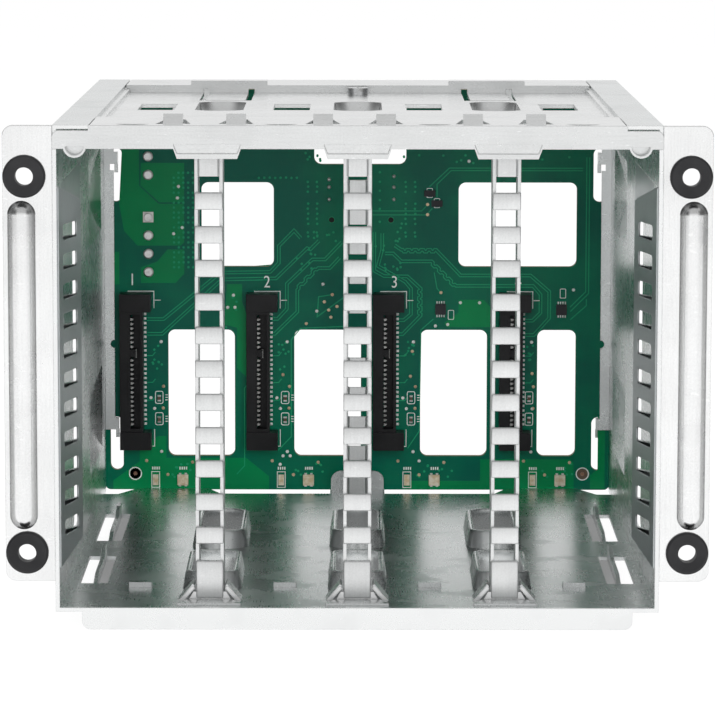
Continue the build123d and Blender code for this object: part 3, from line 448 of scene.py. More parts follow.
@dataclass(frozen=True)
class PlateFinish:
    """Plated or tinned small metal: soft waves, tarnish in patches and bright rims."""

    name: str
    colour: Colour
    roughness: float = 0.28
    tarnish: Colour = (0.42, 0.40, 0.36)
    rubbed: Colour = (0.92, 0.91, 0.89)

    def build(self) -> bpy.types.Material:
        """Make the material.

        Returns:
            The material.
        """
        s = Shader(self.name)
        wave = s.noise(1500, 2)
        patch = s.noise(600, 3).step(0.50, 0.72)
        rounded, rim = s.edges(0.00012)
        body = s.mix(patch * 0.45, self.colour, self.tarnish)
        s.feed("Base Color", s.mix(rim * 0.4, body, self.rubbed))
        s.constants(Metallic=1.0)
        s.feed("Roughness", self.roughness + 0.16 * patch + 0.08 * (wave - 0.5))
        s.feed("Normal", s.bump(wave, 0.15, 0.00003, rounded))
        return s.material


@dataclass(frozen=True)
class InkFinish:
    """Printed ink: slightly uneven, matt, with the ground showing through where it is thin."""

    name: str
    colour: Colour
    ground: Colour

    def build(self) -> bpy.types.Material:
        """Make the material.

        Returns:
            The material.
        """
        s = Shader(self.name)
        thin = s.noise(3000, 3).step(0.55, 0.80)
        drift = s.noise(200, 2)
        s.feed("Base Color", s.mix(thin * 0.5 + (drift - 0.5) * 0.2, self.colour, self.ground))
        s.feed("Roughness", 0.55 + 0.15 * thin)
        s.feed("Normal", s.bump(thin, 0.2, 0.00002))
        return s.material


@dataclass(frozen=True)
class LensFinish:
    """A clear epoxy light over its pale body: warm depth and a glossy skin."""

    name: str
    colour: Colour
    body: Colour
    rim: Colour = (0.80, 0.79, 0.74)

    def build(self) -> bpy.types.Material:
        """Make the material.

        Returns:
            The material.
        """
        s = Shader(self.name)
        depth = s.noise(700, 2)
        grit = s.noise(4500, 2)
        rounded, rim = s.edges(0.00025)
        inside = s.mix(depth.step(0.35, 0.65), self.colour, self.body)
        s.feed("Base Color", s.mix(rim * 0.7, inside, self.rim))
        s.feed("Roughness", 0.22 + 0.12 * (grit - 0.5))
        s.feed("Coat Weight", 0.4 + 0.2 * depth)
        s.feed("Normal", s.bump(grit, 0.1, 0.00002, rounded))
        return s.material


class Finishes:
    """Every material of the object, each made once."""

    UPRIGHT: Triple = (1.0, 1.0, 0.06)
    ACROSS: Triple = (0.06, 1.0, 1.0)

    def __init__(self) -> None:
        """Make the materials."""
        # The cage sheet's front lip gets a painted highlight.
        self.cage = SheetFinish("cage_sheet", front_highlight=1.0).build()
        # A darker copy of the cage sheet for the louvres and patches on the side walls: painted shade of the
        # walls.
        self.pressed = SheetFinish("shaded_pressed_sheet", (0.53, 0.56, 0.57), 0.33, (1.0, 1.0, 0.3)).build()
        self.panel = SheetFinish("panel_sheet", (0.79, 0.80, 0.80), 0.26, self.ACROSS).build()
        self.post = SheetFinish("post_sheet", (0.88, 0.89, 0.89), 0.42, self.UPRIGHT, 0.0002).build()
        # A lighter copy of the sheet for the plates at the post feet: painted highlight on the folds.
        self.lit_fold = SheetFinish("lit_fold_sheet", (0.93, 0.935, 0.935), 0.36, (1.0, 1.0, 0.2), 0.0003).build()
        # The ears' sheet is a lighter copy of the cage sheet: painted light.
        ear = SheetFinish("ear_sheet", (0.92, 0.925, 0.925), 0.24, self.UPRIGHT, 0.0004, ridge=1.6)
        self.ear = ear.build()
        self.board = LaminateFinish("board_mask", (0.001, 0.175, 0.090), (0.001, 0.115, 0.076)).build()
        self.pour = LaminateFinish("copper_pour", (0.001, 0.27, 0.085), (0.001, 0.22, 0.075)).build()
        self.trace = LaminateFinish("copper_trace", (0.020, 0.38, 0.170), (0.012, 0.32, 0.150)).build()
        self.ink = InkFinish("printed_ink", (0.88, 0.92, 0.89), (0.10, 0.36, 0.22)).build()
        self.solder = PlateFinish("solder", (0.72, 0.70, 0.68), 0.36, (0.50, 0.47, 0.45)).build()
        self.gold = PlateFinish("test_gold", (0.82, 0.62, 0.42), 0.34, (0.60, 0.38, 0.26)).build()
        self.tin = PlateFinish("bright_tin", (0.90, 0.89, 0.88), 0.40).build()
        self.paste = MouldFinish("white_tin", (0.80, 0.81, 0.79), 0.35, 2200.0).build()
        self.spring = PlateFinish("spring_plate", (0.42, 0.42, 0.41), 0.36).build()
        self.copper = PlateFinish("bare_copper", (0.36, 0.21, 0.14), 0.42, (0.22, 0.12, 0.08)).build()
        self.steel = PlateFinish("screw_steel", (0.66, 0.67, 0.68), 0.24).build()
        self.black = MouldFinish("connector_black", (0.008, 0.008, 0.009), 0.36).build()
        self.chip = MouldFinish("chip_mould", (0.030, 0.030, 0.034), 0.48, 3200.0).build()
        self.rubber = MouldFinish("grommet_rubber", (0.010, 0.010, 0.011), 0.50, 1300.0, 0.00006).build()
        self.nylon = MouldFinish("inlet_nylon", (0.74, 0.72, 0.63), 0.42, 1500.0, 0.00003, 0.1).build()
        self.ceramic = MouldFinish("passive_ceramic", (0.12, 0.085, 0.06), 0.45, 2600.0).build()
        self.lens = LensFinish("light_lens", (0.62, 0.50, 0.30), (0.78, 0.72, 0.58)).build()


class Piece:
    """A mesh under construction, in millimetres, that becomes one named object on the body."""

    def __init__(self, name: str) -> None:
        """Start an empty mesh under its name."""
        self.name = name
        self.bm = bmesh.new()

    def prism(self, outline: Sequence[Point], start: float, rise: float, face: Face = Face.FRONT) -> None:
        """Add a closed prism that stands on a plane of constant Y.

        Args:
            outline: Its corners, as X and Z.
            start: The plane's Y.
            rise: How far it stands out.
            face: The way that it stands out.
        """
        levels = (start, start + face.value * rise)
        self.skin([self.ring((x, y, z) for x, z in outline) for y in levels], capped=True)

    def ring(self, places: Iterable[Triple]) -> list[bmesh.types.BMVert]:
        """Add the corners of one closed ring."""
        return [self.bm.verts.new(place) for place in places]

    def skin(self, rings: Sequence[Sequence[bmesh.types.BMVert]], capped: bool) -> None:
        """Join rings that have as many corners as each other into one surface.

        Args:
            rings: The rings, from one end to the other.
            capped: Whether a face closes each end.
        """
        if capped:
            for ring in (rings[0], rings[-1]):
                self.bm.faces.new(ring)
        for lower, upper in zip(rings, rings[1:]):
            for i in range(len(lower)):
                j = (i + 1) % len(lower)
                self.bm.faces.new((lower[i], lower[j], upper[j], upper[i]))

    def ribbon(
        self, path: Sequence[Point], width: float, start: float, rise: float, face: Face = Face.FRONT
    ) -> None:
        """Add a strip of constant width that follows a path, its corners mitred.

        Args:
            path: Its middle line, as X and Z.
            width: Its width.
            start: The Y of the plane that it lies on.
            rise: How far it stands out.
            face: The way that it stands out.
        """
        low, high = (
            [[self.bm.verts.new((x, y, z)) for x, z in beside(path, way * width / 2)] for way in SIDES]
            for y in (start, start + face.value * rise)
        )
        rails = [low[0], low[1], high[1], high[0]]
        for a, b in zip(rails, [*rails[1:], rails[0]]):
            for i in range(len(path) - 1):
                self.bm.faces.new((a[i], b[i], b[i + 1], a[i + 1]))
        for end in (0, -1):
            self.bm.faces.new([rail[end] for rail in rails])

    def loop(
        self,
        outer: Sequence[Point],
        inner: Sequence[Point],
        start: float,
        rise: float,
        face: Face = Face.FRONT,
    ) -> None:
        """Add a closed frame between two outlines that have as many corners as each other.

        Args:
            outer: Its outer outline, as X and Z.
            inner: Its inner outline, as X and Z.
            start: The Y of the plane that it lies on.
            rise: How far it stands out.
            face: The way that it stands out.
        """
        top = start + face.value * rise
        levels = ((outer, start), (outer, top), (inner, top), (inner, start))
        rings = [self.ring((x, y, z) for x, z in line) for line, y in levels]
        self.skin([*rings, rings[0]], capped=False)

    def plate(self, outlines: Sequence[Sequence[Point]], levels: Point, lay: Callable[..., tuple]) -> None:
        """Add a flat plate with holes.

        Args:
            outlines: Its rim, and then the rim of each hole.
            levels: Where its two faces lie, along its thickness.
            lay: Gives the place of a point of an outline at a level.
        """
        layers = []
        for level in levels:
            loops = [self.ring(lay(u, v, level) for u, v in line) for line in outlines]
            pairs = (pair for line in loops for pair in zip(line, [*line[1:], line[0]]))
            edges = [self.bm.edges.new(pair) for pair in pairs]
            bmesh.ops.triangle_fill(self.bm, use_beauty=True, edges=edges)
            layers.append(loops)
        for low, high in zip(*layers):
            self.skin([low, high], capped=False)

    def lathe(
        self, profile: Sequence[Point], place: Point, start: float, sides: int, face: Face = Face.FRONT
    ) -> None:
        """Add a turned solid about an axis along Y.

        Args:
            profile: Radius and height points, from the axis at the base to the axis at the top.
            place: The axis, as X and Z.
            start: The Y of height 0.
            sides: How many sides it has.
            face: The way that it stands out.
        """
        rings = []
        for radius, height in profile:
            y = start + face.value * height
            points = circle(place, radius, sides) if radius else [place]
            rings.append(self.ring((x, y, z) for x, z in points))
        for lower, upper in zip(rings, rings[1:]):
            for i in range(sides):
                j = (i + 1) % sides
                corners = [lower[i % len(lower)], lower[j % len(lower)]]
                corners += [upper[j % len(upper)], upper[i % len(upper)]]
                self.bm.faces.new(list(dict.fromkeys(corners)))

    def block(self, low: Sequence[float], high: Sequence[float], round_by: float) -> None:
        """Add a block with rounded edges.

        Args:
            low: Its lowest corner.
            high: Its highest corner.
            round_by: How far its edges are cut back.
        """
        made = bmesh.ops.create_cube(self.bm, size=1.0)["verts"]
        for v in made:
            v.co = Vector(high[i] if v.co[i] > 0 else low[i] for i in range(3))
        edges = list({e for v in made for e in v.link_edges})
        bmesh.ops.bevel(self.bm, geom=edges, offset=round_by, segments=2, affect="EDGES", profile=0.5)

    def finish(self, material: bpy.types.Material, slot: Slot, smooth: float = 0.0) -> bpy.types.Object:
        """Turn the mesh into an object that rides on the body.

        Args:
            material: Its finish.
            slot: The record's slot of that finish; not used.
            smooth: The angle in degrees under which faces shade as one.

        Returns:
            The object.
        """
        bmesh.ops.recalc_face_normals(self.bm, faces=self.bm.faces)
        bmesh.ops.scale(self.bm, vec=(MM, MM, MM), verts=self.bm.verts)
        mesh = bpy.data.meshes.new(self.name)
        self.bm.to_mesh(mesh)
        self.bm.free()
        if smooth:
            mesh.shade_smooth()
            mesh.set_sharp_from_angle(angle=math.radians(smooth))
        return mount(self.name, mesh, material)


def mount(name: str, mesh: bpy.types.Mesh, material: bpy.types.Material) -> bpy.types.Object:
    """Make a mesh one named object that rides on the body.

    Args:
        name: The object's name.
        mesh: Its mesh.
        material: Its finish.

    Returns:
        The object.
    """
    mesh.materials.clear()
    mesh.materials.append(material)
    made = bpy.data.objects.new(name, mesh)
    bpy.context.scene.collection.objects.link(made)
    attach(made, BODY)
    LOG.info("piece %s: %d faces", name, len(mesh.polygons))
    return made


def dress(nodes: Iterable[str], material: bpy.types.Material) -> None:
    """Give carried-over nodes their material.

    Args:
        nodes: The nodes' names.
        material: Their finish.
    """
    for node in nodes:
        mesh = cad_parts[node].data
        mesh.materials.clear()
        mesh.materials.append(material)
        LOG.info("node %s: %s", node, material.name)


def beside_vent(bay: float) -> float:
    """Give how far the marks beside a bay's vent move aside, which only the last bay needs."""
    return -2.2 if bay == BAYS[-1] else 0.0


def circle(place: Point, radius: float, sides: int) -> list[Point]:
    """Give points round a circle.

    Args:
        place: Its centre.
        radius: Its radius.
        sides: How many points.

    Returns:
        The points.
    """
    turns = (2 * math.pi * i / sides for i in range(sides))
    return [(place[0] + radius * math.cos(t), place[1] + radius * math.sin(t)) for t in turns]


def rectangle(place: Point, width: float, tall: float, corner: float = 0.0) -> list[Point]:
    """Give a rectangle's corners, rounded if a corner radius is given.

    Args:
        place: Its centre.
        width: Its width.
        tall: Its height.
        corner: The radius of its corners.

    Returns:
        Its points.
    """
    steps = 4 if corner else 1
    points = []
    for quarter, (sx, sz) in enumerate(((1, 1), (-1, 1), (-1, -1), (1, -1))):
        centre = (place[0] + sx * (width / 2 - corner), place[1] + sz * (tall / 2 - corner))
        for i in range(steps):
            turn = math.pi / 2 * (quarter + i / max(1, steps - 1))
            points.append((centre[0] + corner * math.cos(turn), centre[1] + corner * math.sin(turn)))
    return points


def beside(path: Sequence[Point], distance: float) -> list[Point]:
    """Give a path moved sideways, with mitred corners.

    Args:
        path: Its points.
        distance: How far to the left of its run.

    Returns:
        The moved points.
    """
    runs = [Vector((b[0] - a[0], b[1] - a[1])).normalized() for a, b in zip(path, path[1:])]
    sides = [Vector((-run.y, run.x)) for run in runs]
    moved = []
    for i, (x, z) in enumerate(path):
        before, after = sides[max(0, i - 1)], sides[min(i, len(sides) - 1)]
        middle = (before + after).normalized()
        reach = distance / max(0.4, middle.dot(after))
        moved.append((x + middle.x * reach, z + middle.y * reach))
    return moved


def wavy(path: Sequence[Point], run: int, waves: int, height: float) -> list[Point]:
    """Give a path with length-matching waves in one of its runs.

    Args:
        path: Its points.
        run: The index of the run that gets the waves.
        waves: How many waves.
        height: How far they stand to the side.

    Returns:
        The path with waves.
    """
    a, b = Vector(path[run]), Vector(path[run + 1])
    along = (b - a) / (waves * 4)
    side = Vector((along.y, -along.x)).normalized() * height
    points = []
    for i in range(waves):
        foot = a + along * (4 * i)
        points += [foot + along * 0.8, foot + along * 1.4 + side]
        points += [foot + along * 2.6 + side, foot + along * 3.2]
    return [*path[: run + 1], *((p.x, p.y) for p in points), *path[run + 1 :]]


@dataclass
class Cage:
    """The folded cage, its top panel, posts and ears, with the pressed skins that finish them."""

    posts: tuple[str, ...] = ("post_1", "post_2", "post_3", "rear_post")
    inner: float = 70.0
    root: float = 1.0
    crest: float = 18.4
    rise: float = 3.95
    skin: float = 0.4
    root_ends: Point = (9.4, 99.2)
    crest_ends: Point = (13.9, 94.8)
    window_rows: int = 11
    window_top: float = 88.3
    window_pitch: float = 7.0
    window: Triple = (11.2, 3.7, 0.9)
    window_at: float = 8.9
    patch: tuple[float, float] = (12.1, 79.9)
    patch_heights: Point = (89.3, 98.9)
    post_places: tuple[float, ...] = (-35.0, 0.0, 35.0)
    rung: Triple = (6.6, 4.05, 1.05)
    rung_first: float = 95.3
    rung_pitch: float = 7.95
    rungs: int = 11
    post_front: float = 9.4
    panel_under: float = 110.7
    collar_half: float = 7.0
    collar_bulge: float = 4.2
    collar_rows: tuple[Point, ...] = ((20.5, 54.0), (78.0, 115.0))
    collar_section: tuple[Point, ...] = (
        (-0.12, 0.03), (-0.02, 0.5), (0.29, 2.4), (0.60, 4.2), (0.72, 4.48), (0.95, 4.6),
        (1.45, 4.6), (1.72, 4.48), (1.86, 4.2), (1.45, 2.0), (1.0, -0.9),
    )
    ridge_at: float = 78.2
    ridge_height: float = 57.4
    ridge_run: float = 70.8
    ridge_half: float = 3.2
    ridge_rise: float = 1.09

    def build(self, finishes: Finishes) -> None:
        """Dress the sheet-metal nodes.

        Args:
            finishes: The object's materials.
        """
        dress(["cage_shell"], finishes.cage)
        dress(["top_panel"], finishes.panel)
        dress(self.posts, finishes.post)
        dress(["ear_bracket_left", "ear_bracket_right"], finishes.ear)
        dress(["ear_grommets"], finishes.rubber)
        dress(["board_screws", "post_screw"], finishes.steel)
        for i, x in enumerate(self.post_places):
            self.post_trim(i + 1, x, finishes)
            for row, (start, end) in zip(("front", "rear"), self.collar_rows):
                self.collar(f"floor_collar_{row}_{i + 1}", x, start, end, 0.0, 1, finishes.cage)
            start, end = self.collar_rows[1]
            self.collar(f"top_collar_{i + 1}", x, start, end, self.panel_under, -1, finishes.panel)
        for side, hand in zip(SIDES, ("left", "right")):
            self.louvre(side, hand, finishes)
            self.ridge(side, hand, finishes)

    def louvre(self, side: int, hand: str, finishes: Finishes) -> None:
        """Lay the pressed guide louvre's skin on one side wall, and close the wall past its ends.

        Args:
            side: Which wall, as the sign of its X.
            hand: The wall's name.
            finishes: The object's materials.
        """
        run = self.crest - self.root
        length = math.hypot(run, self.rise)
        lean, along = self.rise / length, run / length

        def ramp(u: float, v: float, level: float) -> Triple:
            """Place a point of the ramp: along it, up it and off its face."""
            x = self.inner - u * lean - level * along
            return side * x, self.root + u * along - level * lean, v

        made = Piece(f"guide_louvre_{hand}")
        low, high = zip(self.root_ends, self.crest_ends)
        rim = [(0, low[0]), (length, low[1]), (length, high[1]), (0, high[0])]
        wide, tall, corner = self.window
        centres = (self.window_top - self.window_pitch * i for i in range(self.window_rows))
        holes = [rectangle((self.window_at, z), wide, tall, corner) for z in centres]
        made.plate([rim, *holes], (0.0, self.skin), ramp)
        # The louvre skin and the patches past its ends take the darker sheet: painted shade.
        made.finish(finishes.pressed, Slot.CAGE, 30)
        closing = Piece(f"louvre_ends_{hand}")
        start, end = self.patch
        corners = [(side * (self.inner + x), z) for x in (0.02, 0.98) for z in self.patch_heights]
        closing.prism([corners[i] for i in (0, 1, 3, 2)], start, end - start, Face.REAR)
        for root_z, crest_z in zip(self.root_ends, self.crest_ends):
            ends = [
                ramp(0, root_z, 0), ramp(length, crest_z, 0), (side * self.inner, self.crest, crest_z)
            ]
            rings = [
                [closing.bm.verts.new((x, y, z + lift)) for x, y, z in ends] for lift in (0.0, self.skin)
            ]
            for ring in rings:
                closing.bm.faces.new(ring)
            for i in range(3):
                j = (i + 1) % 3
                closing.bm.faces.new((rings[0][i], rings[0][j], rings[1][j], rings[1][i]))
        closing.finish(finishes.pressed, Slot.CAGE)

    def post_trim(self, number: int, x: float, finishes: Finishes) -> None:
        """Face a post's rungs with their full-width bent plates, and finish its foot and clips.

        Args:
            number: The post's number, from the left.
            x: Its middle.
            finishes: The object's materials.
        """
        made = Piece(f"post_rungs_{number}")
        wide, tall, deep = self.rung
        for i in range(self.rungs):
            z = self.rung_first - self.rung_pitch * i
            made.block(
                (x - wide / 2, self.post_front - deep, z - tall / 2),
                (x + wide / 2, self.post_front, z + tall / 2), 0.28
            )
        made.block(
            (x - wide / 2, self.post_front - deep, 0.6), (x + wide / 2, self.post_front, 9.75), 0.45
        )
        made.finish(finishes.post, Slot.POST, 60)
        # The foot's tab and ramps are flat plates in the lighter sheet: painted highlight on the folds.
        folds = Piece(f"post_folds_{number}")
        tab = [(x + a, b) for a, b in ((-5.2, 0.05), (5.2, 0.05), (3.9, 2.25), (-3.9, 2.25))]
        folds.prism(tab, self.post_front - 0.5, 0.3)
        for side in SIDES:
            outline = [(x + side * a, b) for a, b in ((7.5, 0.0), (4.2, 3.5), (3.5, 3.0), (6.0, 0.0))]
            folds.prism(outline, self.post_front - 0.02, 0.12)
        folds.finish(finishes.lit_fold, Slot.CAGE)

    def collar(
        self, name: str, x: float, start: float, end: float, level: float, way: int, material: bpy.types.Material
    ) -> None:
        """Smooth one drawn collar: its oval wall, rolled rim and inside.

        Args:
            name: The piece's name.
            x: Its middle.
            start: Its front end.
            end: Its rear end.
            level: The face of the sheet that it stands on.
            way: 1 if it stands up, -1 if it hangs down.
            material: Its finish.
        """
        made = Piece(name)
        rings = []
        for margin, rise in self.collar_section:
            side, sag = self.collar_half - margin, self.collar_bulge - margin
            radius = (side * side + sag * sag) / (2 * sag)
            reach = math.asin(side / radius)
            ring = []
            for middle, turn in ((start + margin + radius, -1), (end - margin - radius, 1)):
                for i in range(21):
                    angle = turn * reach * (1 - i / 10)
                    y = middle + turn * radius * math.cos(angle)
                    ring.append(made.bm.verts.new((x + radius * math.sin(angle), y, level + way * rise)))
            rings.append(ring)
        for lower, upper in zip(rings, rings[1:]):
            for i in range(len(lower)):
                j = (i + 1) % len(lower)
                made.bm.faces.new((lower[i], lower[j], upper[j], upper[i]))
        made.finish(material, Slot.CAGE, 60)

    def ridge(self, side: int, hand: str, finishes: Finishes) -> None:
        """Round the stiffening rib of one ear.

        Args:
            side: Which ear, as the sign of its X.
            hand: The ear's name.
            finishes: The object's materials.
        """
        made = Piece(f"ear_ridge_{hand}")
        rings = []
        steps, turns = 12, 32
        for k in range(steps):
            share = 1 - k / steps
            y = -self.ridge_rise * (1 - share**3.5) - 0.005
            ring = []
            for i in range(turns):
                angle = 2 * math.pi * (i + 0.5) / turns
                end = math.copysign(self.ridge_run / 2, math.sin(angle))
                x = side * self.ridge_at + share * self.ridge_half * math.cos(angle)
                ring.append(
                    made.bm.verts.new((x, y, self.ridge_height + end + share * self.ridge_half * math.sin(angle)))
                )
            rings.append(ring)
        for lower, upper in zip(rings, rings[1:]):
            for i in range(turns):
                j = (i + 1) % turns
                made.bm.faces.new((lower[i], lower[j], upper[j], upper[i]))
        for ring in (rings[0], rings[-1]):
            made.bm.faces.new(ring)
        made.finish(finishes.ear, Slot.EAR, 40)


@dataclass
class BoardArt:
    """What is etched and printed on the board: pours, traces, holes, pads and ink, in millimetres."""

    film: float = 0.02
    trace_rise: float = 0.035
    pad_rise: float = 0.05
    ink_rise: float = 0.045
    trace: float = 0.26
    pair_gap: float = 0.72
    port_columns: tuple[float, ...] = (-13.8, -11.3, 13.2, 15.8)
    port_rows: tuple[float, ...] = (85.5, 84.2, 82.8, 79.5, 78.1, 76.7, 75.3, 73.9, 71.5, 70.4)
    port_pads: tuple[Point, ...] = (
        (-7.9, 86.2), (-7.9, 84.1), (-7.9, 80.7), (10.0, 87.1), (10.0, 84.1), (10.0, 80.7)
    )
    peg_holes: tuple[Point, ...] = ((-7.2, 75.0), (9.2, 75.0))
    power_x: float = -57.9
    power_round: tuple[float, ...] = (92.5, 87.4, 70.6, 65.5, 60.4)
    power_square: float = 75.7
    fiducials: tuple[Point, ...] = ((-61.85, 4.0), (62.7, 4.0))

    def __post_init__(self) -> None:
        """Find the board's two faces."""
        low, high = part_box("backplane_board")
        self.front = low.y / MM
        self.rear = high.y / MM

    def pours(self) -> list[list[Point]]:
        """Give the outlines of the brighter copper areas.

        Returns:
            One outline for each area.
        """
        return [
            [(-59.8, 90.7), (-47.9, 90.7), (-48.0, 79.8), (-54.8, 79.8), (-60.0, 84.5)],
            [(-65.9, 79.5), (-64.6, 71.9), (-60.9, 67.8), (-48.9, 67.8), (-48.0, 68.7), (-48.0, 79.4),
             (-55.0, 79.4),
             (-60.4, 84.4), (-60.4, 96.0), (-65.0, 96.0)],
            [(-60.0, 57.4), (-50.4, 57.4), (-48.0, 60.0), (-48.0, 66.7), (-52.6, 66.7), (-55.4, 63.4),
             (-60.0, 61.7)],
            [(-68.6, 57.0), (-66.0, 57.0), (-66.0, 66.0), (-68.6, 66.0)],
            [(-60.6, 10.6), (-55.5, 14.5), (-53.2, 14.5), (-53.2, 8.4), (-31.0, 8.4), (-24.6, 3.2),
             (-24.6, -0.4),
             (-68.0, -0.4), (-68.0, 2.0), (-60.6, 7.4)],
            [(-36.2, 57.1), (-32.0, 57.1), (-32.0, 52.0), (-30.9, 49.0), (-30.9, 31.2), (-33.4, 33.6),
             (-33.4, 44.9),
             (-36.9, 45.8)],
            [(28.0, 52.8), (35.0, 52.8), (36.8, 50.8), (36.8, 45.2), (24.6, 45.2), (24.1, 46.4),
             (28.0, 49.2)],
            [(34.2, 8.1), (59.2, 8.1), (60.2, 7.1), (60.3, -0.4), (13.0, -0.4), (13.0, 2.0), (34.2, 2.0)],
            [(64.9, 3.6), (66.9, 5.2), (66.9, 20.0), (68.9, 20.0), (68.9, -0.2), (64.9, -0.2)],
        ]

    def pairs(self) -> list[list[Point]]:
        """Give the middles of the traces that run in pairs, from the data port to the receptacles.

        Returns:
            One path for each pair.
        """
        routes = [
            [(-15.7, 69.9), (-17.6, 72.0), (-21.8, 67.7), (-21.8, 63.0), (-24.2, 60.5), (-38.0, 60.3),
             (-53.8, 47.3),
             (-58.4, 47.3)],
            [(-10.7, 69.2), (-13.1, 66.8), (-14.0, 67.1), (-22.6, 58.7), (-37.6, 58.4), (-54.2, 43.2),
             (-58.4, 43.2)],
            [(-4.4, 68.8), (-9.0, 64.0), (-12.5, 64.0), (-19.6, 57.2), (-19.6, 50.2), (-22.2, 47.4),
             (-23.6, 47.4)],
            [(-5.0, 64.5), (-7.7, 61.6), (-10.9, 61.6), (-16.7, 55.5), (-16.7, 49.4), (-23.0, 43.2),
             (-23.6, 43.2)],
            [(6.8, 71.3), (6.8, 66.8), (5.6, 62.2), (13.2, 57.8), (14.8, 55.9), (14.8, 48.8),
             (12.8, 47.1), (11.3, 47.1)],
            [(4.6, 71.6), (4.6, 60.9), (7.3, 59.4), (13.8, 59.3), (17.5, 55.9), (17.5, 48.4),
             (12.5, 43.2), (11.3, 43.2)],
            [(10.3, 67.9), (12.1, 66.7), (21.7, 66.7), (28.5, 59.6), (47.9, 59.6), (53.1, 55.1),
             (53.1, 47.7),
             (48.9, 43.0), (46.5, 43.0)],
            [(7.6, 65.7), (9.8, 65.7), (12.1, 63.5), (20.5, 63.5), (27.3, 56.7), (48.6, 56.7),
             (50.7, 54.3),
             (50.7, 49.2), (48.5, 47.0), (46.5, 47.0)],
        ]
        waves = {3: (2, 3), 5: (4, 4), 6: (1, 5), 7: (3, 4)}
        return [wavy(r, *waves[i], 0.5) if i in waves else r for i, r in enumerate(routes)]

    def singles(self) -> list[list[Point]]:
        """Give the traces that run alone.

        Returns:
            One path for each trace.
        """
        lines = [
            [(19.8, 84.2), (25.3, 89.4), (62.2, 89.4)],
            [(21.9, 81.3), (21.9, 84.9), (25.8, 88.7), (62.2, 88.7)],
            [(4.0, 77.5), (17.7, 77.5), (19.1, 79.0)],
            [(4.0, 76.4), (19.0, 76.4), (20.6, 78.2)],
            [(58.9, 50.8), (63.2, 55.1), (63.2, 92.4)],
            [(59.0, 49.6), (64.0, 54.6), (64.0, 92.4)],
            [(59.0, 47.3), (63.4, 51.2), (63.4, 53.0)],
            [(23.0, 54.8), (22.0, 56.0), (21.2, 60.4)],
            [(21.0, 47.4), (17.6, 44.4), (17.2, 16.0), (14.0, 11.2)],
            [(-22.0, 10.6), (-18.4, 14.4), (-18.4, 41.6), (-15.8, 44.8), (-2.4, 45.4)],
            [(-33.6, 3.8), (-31.4, 6.2), (-31.4, 28.0), (-30.6, 29.0)],
            [(-7.0, 54.2), (-10.8, 53.6), (-11.2, 48.0), (-3.6, 53.6)],
        ]
        for bay in BAYS:
            lines += [
                [(bay - 6.0, 14.6 + 2.5 * i), (bay - 4.4, 14.6 + 2.5 * i), (bay - 3.6, 15.6 + 2.5 * i)]
                for i in (4, 6, 9)
            ]
        return lines

    def via_places(self) -> list[Point]:
        """Give the places of the small mask-covered holes.

        Returns:
            The places, as X and Z.
        """
        draw = random.Random(11)
        places = [
            (x + 0.12 * (i % 2), z) for x in self.port_columns for i, z in enumerate(self.port_rows)
        ]
        places += [(-27.3 + 1.5 * i, 86.6 + 0.05 * (i % 3)) for i in range(8)]
        places += [
            (-50.8 + 1.32 * i, 88.0 - 1.38 * j) for i in range(5) for j in range(20) if (i + 2 * j) % 5
        ]
        places += [(x, z) for x in (6.1,) for z in (88.2, 85.6, 83.1, 80.5, 78.1, 74.5)]
        clusters = [
            (-8.0, 70.6, 5.0, 1.6), (-13.0, 64.5, 4.0, 3.4), (8.6, 70.0, 3.6, 4.0), (9.6, 62.2, 2.4, 1.6)
        ]
        clusters += [(0.0, 92.0, 18.0, 1.5), (40.0, 92.5, 20.0, 2.0), (-36.0, 49.0, 3.0, 5.0)]
        clusters += [(bay - 3.0 + beside_vent(bay), 37.0, 1.4, 4.0) for bay in BAYS] + [
            (bay + 4.0, 5.0, 5.0, 2.0) for bay in BAYS
        ]
        for x, z, wide, tall in clusters:
            places += [(x + draw.uniform(-wide, wide), z + draw.uniform(-tall, tall)) for _ in range(9)]
        return places

    def bright_vias(self) -> list[Point]:
        """Give the places of the tinned test points.

        Returns:
            The places, as X and Z.
        """
        shared = [(-2.0, 41.0), (-4.9, 25.3), (-3.9, 22.3), (-2.0, 10.2)]
        places = [(bay + x + beside_vent(bay) * (x > -3.5), z) for bay in BAYS for x, z in shared]
        places += [
            (-49.5, 84.2), (-49.8, 81.0), (-48.5, 72.8), (-50.9, 71.1), (59.8, 55.6), (28.5, 52.0),
            (33.8, 52.0)
        ]
        places += [
            (21.6, 45.5), (25.0, 45.9), (-9.6, 57.1), (-11.3, 49.6), (-20.7, 9.0), (-18.7, 9.0),
            (-21.5, 6.6)
        ]
        places += [(-34.4, 54.0), (-36.0, 50.6), (-34.0, 50.6), (30.7, 91.3), (17.2, 7.6)]
        return places

    def gold_vias(self) -> list[Point]:
        """Give the places of the gold test points.

        Returns:
            The places, as X and Z.
        """
        shared = ((-6.2, 7.6), (6.6, 7.2), (-0.3, 3.7))
        places = [(bay + x, z) for bay in BAYS for x, z in shared]
        places += [
            (bay + x + beside_vent(bay), z) for bay in BAYS for x, z in ((-1.4, 28.5), (-1.5, 22.4))
        ]
        places += [
            (19.3, 79.3), (19.3, 76.5), (23.1, 54.8), (-14.2, 46.1), (-7.0, 54.2), (-9.2, 52.2),
            (-5.7, 50.9)
        ]
        return [
            *places, (-8.0, 49.9), (-7.4, 47.9), (15.2, 38.4), (14.7, 31.4), (-20.7, 31.8), (48.5, 32.2)
        ]

    def build(self, finishes: Finishes) -> None:
        """Make the pieces of both faces.

        Args:
            finishes: The object's materials.
        """
        pours = Piece("board_pours")
        for outline in self.pours():
            pours.prism(outline, self.front, self.film)
        pours.finish(finishes.pour, Slot.BOARD)
        self.lines(finishes)
        self.holes(finishes)
        self.solder(finishes)
        self.ink(finishes)

